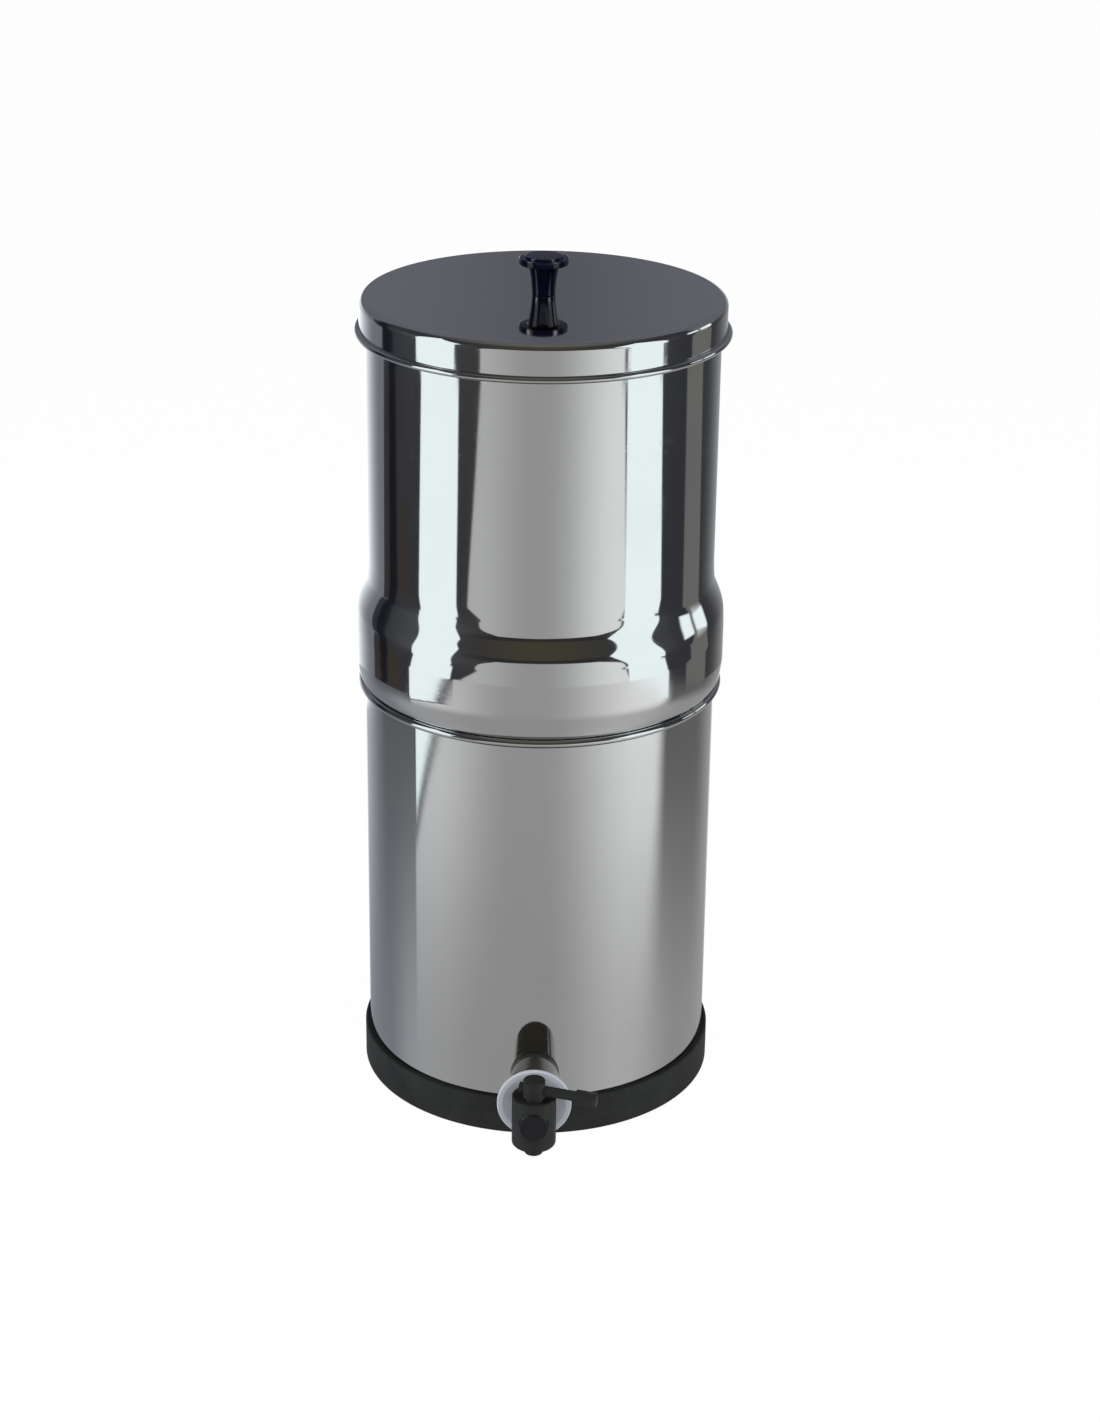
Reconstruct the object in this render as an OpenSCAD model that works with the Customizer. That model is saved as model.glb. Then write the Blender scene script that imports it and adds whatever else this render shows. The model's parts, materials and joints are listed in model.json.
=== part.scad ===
// Gravity water filter: two stacked steel chambers, ceramic candles, a lid and a quarter-turn tap.
// Lengths are in millimetres. The chambers stand on the table at z = 0 with their axis on Z,
// and the tap points along -Y.

/* [Lower chamber] */
// Thickness of the steel sheet of both chambers and the lid
sheet_t = 0.8; // [0.6:0.1:1.1]
// Outer radius of the lower chamber's wall
lower_r = 107; // [102:0.5:115]
// Height of the lower chamber's rim above the table
lower_rim_h = 264.1; // [250:0.1:290]
// Radius of the bend between the lower chamber's wall and floor
lower_corner_r = 6; // [4:0.5:8]
// Radius of the rolled bead at the lower chamber's rim
rim_bead_r = 2.5; // [2.2:0.1:2.9]

/* [Base ring] */
// Height of the rubber ring round the foot
ring_h = 23.6; // [19:0.2:28]
// Thickness of the ring's upright wall
ring_wall = 3.05; // [2.8:0.05:4]
// Thickness of the ring's lip under the chamber's floor
ring_lip_t = 3; // [2:0.5:5]
// Width of the ring's foot, from its outside to the edge of the lip
ring_foot_w = 14; // [12:1:20]
// Radius of the rounded edges of the ring
ring_edge_r = 1; // [0.6:0.1:1.2]
// Width of the groove in the ring's top
ring_groove_w = 0.6; // [0.4:0.1:0.7]
// Depth of that groove
ring_groove_d = 0.9; // [0.5:0.1:1.5]

/* [Upper chamber] */
// How far the upper chamber's wall stands inside the lower chamber's wall line
upper_step = 2; // [1.5:0.1:2.5]
// Height of the upper chamber from its seat to its rim
upper_h = 234.7; // [210:0.1:260]
// Gap between the collar and the inside of the lower chamber
collar_gap = 1.8; // [1.5:0.1:2.2]
// How far the collar reaches down into the lower chamber
collar_h = 14.6; // [11:0.2:20]
// Radius of the bend between the collar and the floor
collar_corner_r = 4; // [3:0.5:6]
// Radius of the inner bend between the collar and the seat
seat_bend_r = 1.2; // [0.9:0.1:1.5]
// How far the bulge stands out from the upper wall
bulge_out = 7; // [6.5:0.1:8]
// Height of the bulge from the seat to the foot of the flare
bulge_h = 42.6; // [38:0.2:50]
// Height of the rounded foot of the bulge
bulge_foot_h = 16.6; // [12:0.2:20]
// Height of the flare between the bulge and the upper wall
flare_h = 25; // [20:0.5:30]
// Radius of the small rolled bead at the upper chamber's rim
upper_bead_r = 1.2; // [1.15:0.05:1.4]

/* [Lid] */
// Radius of the rounded edge of the lid
lid_edge_r = 4.5; // [4.2:0.1:6]
// Height of the lid from the foot of its skirt to its top
lid_h = 22.2; // [18:0.2:27]
// Radius of the rolled bead under the skirt
lid_bead_r = 1.85; // [1.6:0.05:2.1]
// Play between the lid's skirt and the upper chamber's rim
lid_play = 0.8; // [0.6:0.05:1]

/* [Knob] */
// Height of the knob to the top of its flange
knob_h = 22; // [18:0.1:25]
// Radius of the knob where it stands on the lid
knob_foot_r = 6.85; // [6:0.05:8]
// Radius of the neck under the flange
knob_neck_r = 9.1; // [8.2:0.1:10]
// Radius of the flange
knob_flange_r = 14.5; // [13:0.1:17]
// Thickness of the flange
knob_flange_t = 4; // [3:0.1:4.5]
// Radius of the disc set in the flange
knob_cap_r = 11.2; // [9:0.1:12]
// Height of that disc above the flange
knob_cap_rise = 1.2; // [0.8:0.1:1.6]
// Radius of the knob's screw
knob_screw_r = 2.5; // [2:0.1:3]
// Length of that screw inside the knob
knob_screw_l = 12; // [8:0.5:14]

/* [Candles] */
// Radius of a ceramic candle
candle_r = 25; // [22:0.5:28]
// Height of the ceramic shell
candle_h = 165; // [120:1:180]
// Thickness of the ceramic
candle_wall = 6; // [5:0.5:8]
// Height of the domed end of a candle
candle_dome_h = 20; // [15:1:25]
// Distance of each candle and blanking plug from the chambers' axis
candle_pitch = 46; // [44:0.5:52]
// Height of the plastic mount under a candle
mount_h = 12; // [9:0.5:15]
// Radius of the threaded stem of a mount or a blanking plug
stem_r = 6; // [5:0.5:6.5]
// Length of a candle's stem below the upper chamber's floor
candle_stem_l = 28; // [22:1:34]
// Radius of the bore in a candle's stem
stem_bore_r = 2.5; // [2:0.1:3]
// Radius of the rubber washer under a mount or a blanking plug
floor_washer_r = 11; // [10:0.5:11.5]
// Thickness of that washer
floor_washer_t = 2.5; // [2:0.1:3.5]
// Height of a wing nut's hub
wing_nut_h = 10; // [8:0.5:13]
// Reach of its wings from its axis
wing_reach = 19; // [16:0.5:22]

/* [Blanking plugs] */
// Radius of a blanking plug's head
plug_head_r = 12.5; // [12:0.5:15]
// Height of that head
plug_head_h = 5; // [4:0.5:7]
// Length of a plug's stem below the floor
plug_stem_l = 16; // [13:0.5:20]
// Height of the nut on a blanking plug
plug_nut_h = 7; // [5:0.5:9]

/* [Tap fixing] */
// Height of the tap's shank above the table
tap_h = 40.5; // [38:0.1:50]
// Radius of the threaded shank
shank_r = 8; // [7:0.1:8.5]
// Radius of the waterway in the shank
shank_bore_r = 4; // [3.4:0.1:4.4]
// Length of the shank inside the chamber, behind the lock nut
shank_tail = 4; // [2:0.5:8]
// Thickness of the rubber ring between wall and sleeve
wall_ring_t = 1.2; // [1:0.1:2]
// Length of the tapered sleeve
sleeve_l = 29.8; // [24:0.2:36]
// Radius of the sleeve near the wall
sleeve_wall_r = 14.2; // [13.6:0.1:15]
// Radius of the sleeve at its outer end
sleeve_end_r = 19.5; // [17:0.1:20]
// Thickness of the sleeve's rounded lip at the wall
sleeve_lip_t = 1.6; // [1.2:0.1:2]
// Thickness of the gasket between the sleeve and the white washer
gasket_t = 2; // [1.5:0.1:3]
// Radius of the white washer
cup_r = 22.4; // [21.6:0.1:25]
// Thickness of the white washer's rim
cup_rim_t = 3.2; // [3:0.1:4]
// Width of that rim
cup_rim_w = 4; // [3:0.1:5]
// Depth of the white washer's recess
cup_depth = 1.6; // [1.2:0.1:1.8]
// Radius of the rubber washer inside the chamber
inner_washer_r = 14; // [13:0.5:16]
// Thickness of that washer
inner_washer_t = 3; // [2.5:0.1:4]
// Width across the flats of the lock nut
lock_nut_af = 25; // [23:0.5:28]
// Thickness of the lock nut
lock_nut_t = 8; // [6:0.5:10]

/* [Tap body] */
// Radius of the barrel
barrel_r = 13.25; // [12.8:0.05:14.5]
// Height of the barrel
barrel_h = 32.5; // [31.5:0.1:36]
// How far the shank's axis lies below the barrel's top
barrel_drop = 14.5; // [14.2:0.1:16]
// Radius of the barrel's rounded foot
barrel_foot_r = 2; // [1:0.1:3]
// Depth of the open well in the barrel's top
well_d = 4; // [3.5:0.1:4.5]
// Thickness of the wall round that well
well_wall = 1.35; // [1:0.05:1.5]
// Length of the shoulder between the white washer and the barrel
shoulder_l = 2.2; // [1.8:0.1:4]
// Radius of that shoulder
shoulder_r = 11; // [10:0.1:12]
// Radius of the spout under the barrel
spout_r = 5.5; // [5:0.1:6.5]
// Length of the spout
spout_l = 6.3; // [5:0.1:10]
// Radius of the spout's waterway
spout_bore_r = 3.5; // [3:0.1:4]
// Radius of the disc on the front of the barrel
disc_r = 8.9; // [8.3:0.1:9.2]
// How far that disc stands proud of the barrel
disc_rise = 1.2; // [0.6:0.1:2]

/* [Valve] */
// Radius of the bore that the plug turns in
valve_bore_r = 7.5; // [7:0.1:7.6]
// Radius of the waterway in the plug
port_r = 3.2; // [2.8:0.1:3.3]
// Section radius of the O-rings
o_ring_r = 0.75; // [0.6:0.05:0.8]
// Height of the screwed part of the bonnet
bonnet_h = 4; // [3.6:0.1:4.3]
// Thickness of the bonnet's flange
bonnet_flange_t = 1.3; // [1:0.1:1.6]
// Radius of the spindle's neck
neck_r = 5; // [4.5:0.1:5.5]
// Radius of the spindle's head
head_r = 6.6; // [6.2:0.1:7.2]
// Height of the spindle's head
head_h = 11; // [10:0.1:13]
// Gap between the barrel's top and the underside of the head
head_lift = -0.5; // [-1.2:0.1:1]
// Radius of the lever bar
lever_r = 3.1; // [2.6:0.1:3.3]
// How far the lever's axis lies below the head's top
lever_drop = 6.2; // [5.2:0.1:6.5]
// Reach of the lever from the spindle's axis
lever_reach = 38.7; // [32:0.1:45]
// How far the lever's tail stands out of the head
lever_tail = 2.5; // [1:0.1:4]
// Angle of the closed lever in front of the sideways stop
lever_rest = 17.7; // [12:0.1:20]
// Length of the paddle at the lever's end
paddle_l = 13; // [10:0.5:16]
// Height of the paddle
paddle_h = 7.6; // [7:0.1:10]
// Width of the paddle
paddle_w = 6.6; // [6:0.1:8]

/* [Clearances] */
// Gap between pieces that rest on each other and lift apart
seat_gap = 0.3; // [0.2:0.05:0.4]
// Gap between pieces that are fixed together
fit_gap = 0.05; // [0.03:0.01:0.1]
// Running clearance of the plug and spindle
run_gap = 0.05; // [0.03:0.01:0.08]
// End play of the plug
end_play = 0.2; // [0.15:0.05:0.3]
// Clearance of a stem or screw in a hole of the sheet
hole_gap = 0.4; // [0.3:0.05:0.6]

/* [Hidden] */
$fn = 96;
// Facets drawn round the chamber's wall where a washer is shaped to it
wall_facets = 256;

// How far a cut runs past the face that it opens
overrun = 1;

// Lower chamber and ring
floor_z = ring_lip_t + fit_gap;
ring_in = lower_r + fit_gap;
ring_out = ring_in + ring_wall;
ring_seal_w = 0.7;
lower_in = lower_r - sheet_t;
rim_bead_c = [lower_in + rim_bead_r, lower_rim_h - rim_bead_r];

// Upper chamber
seat_z = lower_rim_h + seat_gap;
upper_r = lower_r - upper_step;
upper_in = upper_r - sheet_t;
bulge_r = upper_r + bulge_out;
collar_r = lower_in - collar_gap;
upper_floor_z = seat_z - collar_h;
upper_floor_top = upper_floor_z + sheet_t;
upper_rim_z = seat_z + upper_h;
upper_bead_c = [upper_in + upper_bead_r, upper_rim_z - upper_bead_r];

// Lid: the rounded edge rests on the upper chamber's bead
lid_in = upper_bead_c[0] + upper_bead_r + lid_play;
lid_r = lid_in + sheet_t;
lid_hollow_r = lid_edge_r - sheet_t - upper_bead_r;
lid_rest = sqrt(pow(lid_hollow_r - seat_gap, 2) - pow(lid_hollow_r - lid_play, 2));
lid_top = upper_bead_c[1] - lid_rest + lid_edge_r;
lid_under = lid_top - sheet_t;
lid_bead_c = [lid_in + lid_bead_r, lid_top - lid_h + lid_bead_r];

// Knob
knob_edge_r = 0.6;
knob_neck_bend = 1.7;
knob_neck_h = knob_h - knob_flange_t;
knob_cap_d = 1.5;
knob_washer_r = 8;
knob_washer_t = 1.2;
knob_head_r = 4.6;
knob_head_t = 2.4;

// Candles and blanking plugs
candle_in = candle_r - candle_wall;
mount_r = candle_r + fit_gap + 1.2;
mount_spigot_h = 6;
mount_edge_r = 1.5;
candle_washer_z = upper_floor_top;
mount_z = candle_washer_z + floor_washer_t;
candle_z = mount_z + mount_h;
wing_nut_r = 9.5;
wing_t = 3;
wing_tip_r = 4;
wing_tip_drop = 11;
plug_edge_r = 1.5;
plug_nut_af = 20;

// Tap fixing, as distances from the chambers' axis towards the front
hex_share = 1 / cos(30);
wall_ring_r = sleeve_wall_r + 0.7;
sleeve_bore_r = shank_r + hole_gap;
sleeve_d = lower_r + wall_ring_t;
gasket_d = sleeve_d + sleeve_l;
gasket_r = sleeve_end_r + 0.8;
cup_d = gasket_d + gasket_t;
cup_floor_t = cup_rim_t - cup_depth;
cup_edge_r = 0.6;
cup_slope_w = 1.6;
shoulder_d = cup_d + cup_floor_t;
barrel_d = shoulder_d + shoulder_l + barrel_r;
inner_washer_d = lower_in - inner_washer_t;
lock_nut_d = inner_washer_d - lock_nut_t;
shank_d = lock_nut_d - shank_tail;

// Tap body heights
barrel_top = tap_h + barrel_drop;
barrel_z = barrel_top - barrel_h;
well_z = barrel_top - well_d;
well_r = barrel_r - well_wall;
bonnet_z = well_z - bonnet_h;
bonnet_r = valve_bore_r + 1;
rim_edge_r = 0.4;
valve_floor_t = 5.2;
valve_z = barrel_z + valve_floor_t;
disc_seat_d = 0.45;
disc_d = barrel_d + sqrt(pow(barrel_r, 2) - pow(disc_r, 2)) - disc_seat_d;
disc_face_d = barrel_d + barrel_r + disc_rise;
disc_edge_r = 0.4;

// Valve heights
plug_r = valve_bore_r - run_gap;
plug_z = valve_z + end_play;
plug_top = bonnet_z - end_play;
head_z = barrel_top + head_lift;
head_top = head_z + head_h;
head_edge_r = 0.5;
lever_z = head_top - lever_drop;
lever_bore_r = lever_r + fit_gap;
o_ring_c = plug_r - o_ring_r;
o_ring_wall = 0.45;
upper_o_ring_z = plug_top - o_ring_wall - o_ring_r - fit_gap;
lower_o_ring_z = plug_z + o_ring_wall + o_ring_r + fit_gap;
paddle_edge_r = 1;
paddle_frame = 1;
paddle_panel_d = 0.4;

// Points of an oval arc about c, from angle a0 to a1
function oval(c, rx, rz, a0, a1, n) =
    [for (i = [0:n]) let (a = a0 + (a1 - a0) * i / n) c + [rx * cos(a), rz * sin(a)]];

// Points of a round arc
function arc(c, r, a0, a1, n = 8) = oval(c, r, r, a0, a1, n);

// Unit vector to the left of the way from a to b
function left_of(a, b) = [a[1] - b[1], b[0] - a[0]] / norm(b - a);

// The path moved sideways by t, to its left, and mitred at its corners
function beside(path, t) =
    let (m = len(path) - 1)
    [for (i = [0:m])
        let (
            n0 = left_of(path[max(i - 1, 0)], path[max(i, 1)]),
            n1 = left_of(path[min(i, m - 1)], path[min(i + 1, m)])
        )
        path[i] + t * (n0 + n1) / (1 + n0 * n1)];

// Radius of the flare at share s of its height, from the bulge to the upper wall
function flare_radius(s) = upper_r + bulge_out * (1 + cos(180 * s)) / 2;

// Sheet of thickness t turned about Z along the path of one of its faces
module turned_sheet(path, t) {
    other = beside(path, t);
    rotate_extrude()
        polygon(concat(path, [for (i = [len(path) - 1:-1:0]) other[i]]));
}

// Plain disc or washer
module washer(r, hole, t) {
    difference() {
        cylinder(r = r, h = t);
        translate([0, 0, -overrun]) cylinder(r = hole, h = t + 2 * overrun);
    }
}

// Hexagonal nut
module hex_nut(af, hole, t) {
    difference() {
        cylinder(r = af / 2 * hex_share, h = t, $fn = 6);
        translate([0, 0, -overrun]) cylinder(r = hole, h = t + 2 * overrun);
    }
}

// Places a piece that is turned about the tap's shank, d in front of the chambers' axis
module on_shank(d) {
    translate([0, -d, tap_h]) rotate([90, 0, 0]) children();
}

// Upright form of radius r that shapes a washer to the chamber's wall
module wall_form(r) {
    cylinder(r = r, h = 2 * tap_h, $fn = wall_facets);
}

// Places a piece on the spindle's axis, with the closed lever along +X
module on_spindle() {
    translate([0, -barrel_d, 0]) rotate([0, 0, -lever_rest]) children();
}

// Rubber ring: an upright wall and a lip under the chamber
module base_ring() {
    lip_in = ring_out - ring_foot_w;
    groove_in = ring_in + ring_seal_w;
    groove_out = groove_in + ring_groove_w;
    color("#26262a")
        rotate_extrude()
            polygon(concat(
                [[lip_in, 0]],
                arc([ring_out - ring_edge_r, ring_edge_r], ring_edge_r, -90, 0),
                arc([ring_out - ring_edge_r, ring_h - ring_edge_r], ring_edge_r, 0, 90),
                [
                    [groove_out, ring_h],
                    [groove_out, ring_h - ring_groove_d],
                    [groove_in, ring_h - ring_groove_d],
                    [groove_in, ring_h],
                    [ring_in, ring_h]
                ],
                arc([lower_r - lower_corner_r, floor_z + lower_corner_r],
                    lower_corner_r + fit_gap, 0, -90),
                [[lip_in, ring_lip_t]]
            ));
}

// Steel can with a rolled bead at its rim and one hole for the shank
module lower_chamber() {
    wall_path = concat(
        [[0, floor_z]],
        arc([lower_r - lower_corner_r, floor_z + lower_corner_r], lower_corner_r, -90, 0),
        arc(rim_bead_c, rim_bead_r - sheet_t, 180, -130, 16)
    );
    color("#b9bbbd")
        difference() {
            turned_sheet(wall_path, sheet_t);
            on_shank(0) cylinder(r = shank_r + hole_gap, h = lower_r + overrun);
        }
}

// Thin rubber ring: flat to the sleeve, hollowed to the chamber's wall
module wall_ring() {
    color("#1c1c1e")
        difference() {
            on_shank(0) cylinder(r = wall_ring_r, h = sleeve_d);
            wall_form(lower_r + fit_gap);
            on_shank(0) cylinder(r = sleeve_bore_r, h = sleeve_d + overrun);
        }
}

// Tapered spacer with a rounded lip at the wall
module tap_sleeve() {
    lip_r = sleeve_lip_t / 2;
    color("#2c2c2e")
        on_shank(sleeve_d)
            rotate_extrude()
                polygon(concat(
                    [[sleeve_bore_r, 0]],
                    arc([sleeve_wall_r, lip_r], lip_r, -90, 90),
                    [[sleeve_end_r, sleeve_l], [sleeve_bore_r, sleeve_l]]
                ));
}

// Rubber gasket between the sleeve and the cupped washer
module sleeve_gasket() {
    color("#161618") on_shank(gasket_d) washer(gasket_r, sleeve_bore_r, gasket_t);
}

// White washer with a raised rim
module cup_washer() {
    rim_in = cup_r - cup_rim_w;
    color("#e9ebf0")
        on_shank(cup_d)
            rotate_extrude()
                polygon(concat(
                    [[sleeve_bore_r, 0]],
                    arc([cup_r - cup_edge_r, cup_edge_r], cup_edge_r, -90, 0),
                    arc([cup_r - cup_edge_r, cup_rim_t - cup_edge_r], cup_edge_r, 0, 90),
                    [
                        [rim_in, cup_rim_t],
                        [rim_in - cup_slope_w, cup_floor_t],
                        [sleeve_bore_r, cup_floor_t]
                    ]
                ));
}

// Upright barrel with its shoulder, shank and spout, bored for the plug and the water
module tap_body() {
    color("#37383a")
        difference() {
            union() {
                translate([0, -barrel_d, 0])
                    rotate_extrude()
                        polygon(concat(
                            [[0, barrel_z]],
                            arc([barrel_r - barrel_foot_r, barrel_z + barrel_foot_r],
                                barrel_foot_r, -90, 0),
                            arc([barrel_r - rim_edge_r, barrel_top - rim_edge_r], rim_edge_r, 0, 90),
                            [[0, barrel_top]]
                        ));
                translate([0, -barrel_d, barrel_z - spout_l])
                    cylinder(r = spout_r, h = spout_l + valve_floor_t / 2);
                on_shank(shoulder_d) cylinder(r = shoulder_r, h = barrel_d - shoulder_d);
                on_shank(shank_d) cylinder(r = shank_r, h = barrel_d - shank_d);
            }
            translate([0, -barrel_d, 0]) {
                translate([0, 0, well_z]) cylinder(r = well_r, h = well_d + overrun);
                translate([0, 0, bonnet_z]) cylinder(r = bonnet_r, h = bonnet_h + overrun);
                translate([0, 0, valve_z]) cylinder(r = valve_bore_r, h = bonnet_z - valve_z + overrun);
                translate([0, 0, barrel_z - spout_l - overrun])
                    cylinder(r = spout_bore_r, h = spout_l + valve_floor_t + 2 * overrun);
            }
            on_shank(shank_d - overrun) cylinder(r = shank_bore_r, h = barrel_d - shank_d + overrun);
            on_shank(disc_d - fit_gap) cylinder(r = disc_r + fit_gap, h = barrel_r);
        }
}

// Screwed ring that keeps the plug in the barrel
module bonnet() {
    color("#2b2b2d")
        translate([0, -barrel_d, 0])
            difference() {
                union() {
                    translate([0, 0, bonnet_z]) cylinder(r = bonnet_r - fit_gap, h = bonnet_h);
                    translate([0, 0, well_z]) cylinder(r = well_r - fit_gap, h = bonnet_flange_t);
                }
                translate([0, 0, bonnet_z - overrun])
                    cylinder(r = neck_r + run_gap, h = bonnet_h + bonnet_flange_t + 2 * overrun);
            }
}

// Plain disc let into the front of the barrel
module front_disc() {
    disc_t = disc_face_d - disc_d;
    color("#2e2f31")
        on_shank(disc_d)
            rotate_extrude()
                polygon(concat(
                    [[0, 0], [disc_r, 0]],
                    arc([disc_r - disc_edge_r, disc_t - disc_edge_r], disc_edge_r, 0, 90),
                    [[0, disc_t]]
                ));
}

// Rubber washer inside the chamber, rounded to its wall
module inner_washer() {
    color("#1c1c1e")
        difference() {
            intersection() {
                on_shank(inner_washer_d) cylinder(r = inner_washer_r, h = inner_washer_t);
                wall_form(lower_in - fit_gap);
            }
            on_shank(inner_washer_d - overrun)
                cylinder(r = shank_r + fit_gap, h = inner_washer_t + 2 * overrun);
        }
}

module lock_nut() {
    color("#e4e4e6") on_shank(lock_nut_d) hex_nut(lock_nut_af, shank_r + fit_gap, lock_nut_t);
}

// Turning plug with its neck and head, a port on the side away from the lever
module valve_plug() {
    port_z = tap_h;
    color("#3a3b3d")
        on_spindle()
            difference() {
                union() {
                    translate([0, 0, plug_z]) cylinder(r = plug_r, h = plug_top - plug_z);
                    translate([0, 0, plug_z]) cylinder(r = neck_r, h = head_top - plug_z - overrun);
                    rotate_extrude()
                        polygon(concat(
                            [[0, head_z], [head_r, head_z]],
                            arc([head_r - head_edge_r, head_top - head_edge_r], head_edge_r, 0, 90),
                            [[0, head_top]]
                        ));
                }
                for (z = [upper_o_ring_z, lower_o_ring_z])
                    translate([0, 0, z - o_ring_r - fit_gap])
                        washer(plug_r + overrun, o_ring_c - o_ring_r - fit_gap, 2 * (o_ring_r + fit_gap));
                translate([0, 0, plug_z - overrun]) cylinder(r = port_r, h = port_z - plug_z + overrun);
                translate([0, 0, port_z]) rotate([0, -90, 0]) cylinder(r = port_r, h = plug_r + overrun);
                translate([-head_r - overrun, 0, lever_z]) rotate([0, 90, 0])
                    cylinder(r = lever_bore_r, h = 2 * (head_r + overrun));
            }
}

module o_ring(z) {
    color("#101012")
        on_spindle() translate([0, 0, z]) rotate_extrude() translate([o_ring_c, 0]) circle(r = o_ring_r);
}

// Outline of a rounded rectangle, w by h, about the origin
module rounded_outline(w, h, r) {
    square([w - 2 * r, h], center = true);
    square([w, h - 2 * r], center = true);
    for (x = [-1, 1], y = [-1, 1])
        translate([x * (w / 2 - r), y * (h / 2 - r)]) circle(r = r);
}

// Round bar through the head with a flat paddle at its end
module tap_lever() {
    tail = head_r + lever_tail;
    panel_l = paddle_l - 2 * paddle_frame;
    panel_h = paddle_h - 2 * paddle_frame;
    paddle_x = lever_reach - paddle_l / 2;
    paddle_z = lever_z + lever_r - paddle_h / 2;
    color("#3a3b3d")
        on_spindle()
            difference() {
                union() {
                    translate([-tail, 0, lever_z]) rotate([0, 90, 0])
                        cylinder(r = lever_r, h = tail + lever_reach - paddle_l / 2);
                    translate([paddle_x, paddle_w / 2, paddle_z]) rotate([90, 0, 0])
                        linear_extrude(paddle_w) rounded_outline(paddle_l, paddle_h, paddle_edge_r);
                }
                for (side = [-1, 1])
                    translate([paddle_x - panel_l / 2, side * paddle_w / 2 - paddle_panel_d,
                               paddle_z - panel_h / 2])
                        cube([panel_l, 2 * paddle_panel_d, panel_h]);
            }
}

// Steel can with a collar that stands in the lower chamber, a bulge and a small rolled rim
module upper_chamber() {
    flare_steps = 20;
    wall_path = concat(
        [[0, upper_floor_z]],
        arc([collar_r - collar_corner_r, upper_floor_z + collar_corner_r], collar_corner_r, -90, 0),
        arc([collar_r + seat_bend_r, seat_z - seat_bend_r], seat_bend_r, 180, 90),
        oval([rim_bead_c[0], seat_z + bulge_foot_h], bulge_r - rim_bead_c[0], bulge_foot_h, -90, 0, 14),
        [for (i = [0:flare_steps])
            let (s = i / flare_steps) [flare_radius(s), seat_z + bulge_h + flare_h * s]],
        arc(upper_bead_c, upper_bead_r - sheet_t, 180, -130, 12)
    );
    color("#bcbec0")
        difference() {
            turned_sheet(wall_path, sheet_t);
            for (a = [0:90:270])
                rotate([0, 0, a]) translate([candle_pitch, 0, upper_floor_z - overrun])
                    cylinder(r = stem_r + hole_gap, h = sheet_t + 2 * overrun);
        }
}

// Hollow ceramic candle with a domed end, side is -1 for left and 1 for right
module candle(side) {
    dome_z = candle_h - candle_dome_h;
    color("#efece4")
        translate([side * candle_pitch, 0, candle_z])
            rotate_extrude()
                polygon(concat(
                    [[candle_in, 0], [candle_r, 0]],
                    oval([0, dome_z], candle_r, candle_dome_h, 0, 90, 16),
                    oval([0, dome_z], candle_in, candle_dome_h - candle_wall, 90, 0, 16)
                ));
}

// Plastic mount with a spigot in the candle and a bored stem through the floor
module candle_mount(side) {
    stem_end = upper_floor_z - candle_stem_l;
    color("#d9dade")
        translate([side * candle_pitch, 0, 0])
            rotate_extrude()
                polygon(concat(
                    [[stem_bore_r, stem_end], [stem_r, stem_end], [stem_r, mount_z]],
                    arc([mount_r - mount_edge_r, mount_z + mount_edge_r], mount_edge_r, -90, 0),
                    [
                        [mount_r, candle_z],
                        [candle_in - fit_gap, candle_z],
                        [candle_in - fit_gap, candle_z + mount_spigot_h],
                        [stem_bore_r, candle_z + mount_spigot_h]
                    ]
                ));
}

// Rubber washer on the upper chamber's floor, at angle a round the axis
module floor_washer(a) {
    color("#1c1c1e")
        rotate([0, 0, a]) translate([candle_pitch, 0, candle_washer_z])
            washer(floor_washer_r, stem_r + fit_gap, floor_washer_t);
}

// Wing nut under the floor
module wing_nut(side) {
    wing_foot = wing_nut_r - wing_t;
    wing_end = wing_reach - wing_tip_r;
    color("#dfe0e4")
        translate([side * candle_pitch, 0, upper_floor_z - wing_nut_h])
            difference() {
                union() {
                    cylinder(r = wing_nut_r, h = wing_nut_h);
                    for (x = [0, 1])
                        mirror([x, 0, 0]) translate([0, wing_t / 2, wing_nut_h]) rotate([90, 0, 0])
                            linear_extrude(wing_t) {
                                polygon([
                                    [wing_foot, 0],
                                    [wing_foot, -wing_nut_h],
                                    [wing_end, -wing_tip_drop - wing_tip_r],
                                    [wing_end + wing_tip_r, -wing_tip_drop],
                                    [wing_end, -wing_tip_drop + wing_tip_r]
                                ]);
                                translate([wing_end, -wing_tip_drop]) circle(r = wing_tip_r);
                            }
                }
                translate([0, 0, -2 * wing_nut_h])
                    cylinder(r = stem_r + fit_gap, h = 4 * wing_nut_h);
            }
}

// Solid plug for a spare hole in the floor, at angle a round the axis
module blanking_plug(a) {
    stem_end = upper_floor_z - plug_stem_l;
    head_end = mount_z + plug_head_h;
    color("#2a2a2c")
        rotate([0, 0, a]) translate([candle_pitch, 0, 0])
            rotate_extrude()
                polygon(concat(
                    [[0, stem_end], [stem_r, stem_end], [stem_r, mount_z], [plug_head_r, mount_z]],
                    arc([plug_head_r - plug_edge_r, head_end - plug_edge_r], plug_edge_r, 0, 90),
                    [[0, head_end]]
                ));
}

module plug_nut(a) {
    color("#2a2a2c")
        rotate([0, 0, a]) translate([candle_pitch, 0, upper_floor_z - plug_nut_h])
            hex_nut(plug_nut_af, stem_r + fit_gap, plug_nut_h);
}

// Pressed lid: flat top, rounded edge, short skirt and a rolled bead
module lid() {
    top_path = concat(
        [[0, lid_top]],
        arc([lid_r - lid_edge_r, lid_top - lid_edge_r], lid_edge_r, 90, 0),
        arc(lid_bead_c, lid_bead_r - sheet_t, 180, 490, 16)
    );
    color("#b4b6b9")
        difference() {
            turned_sheet(top_path, -sheet_t);
            translate([0, 0, lid_under - overrun])
                cylinder(r = knob_screw_r + hole_gap, h = sheet_t + 2 * overrun);
        }
}

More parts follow.
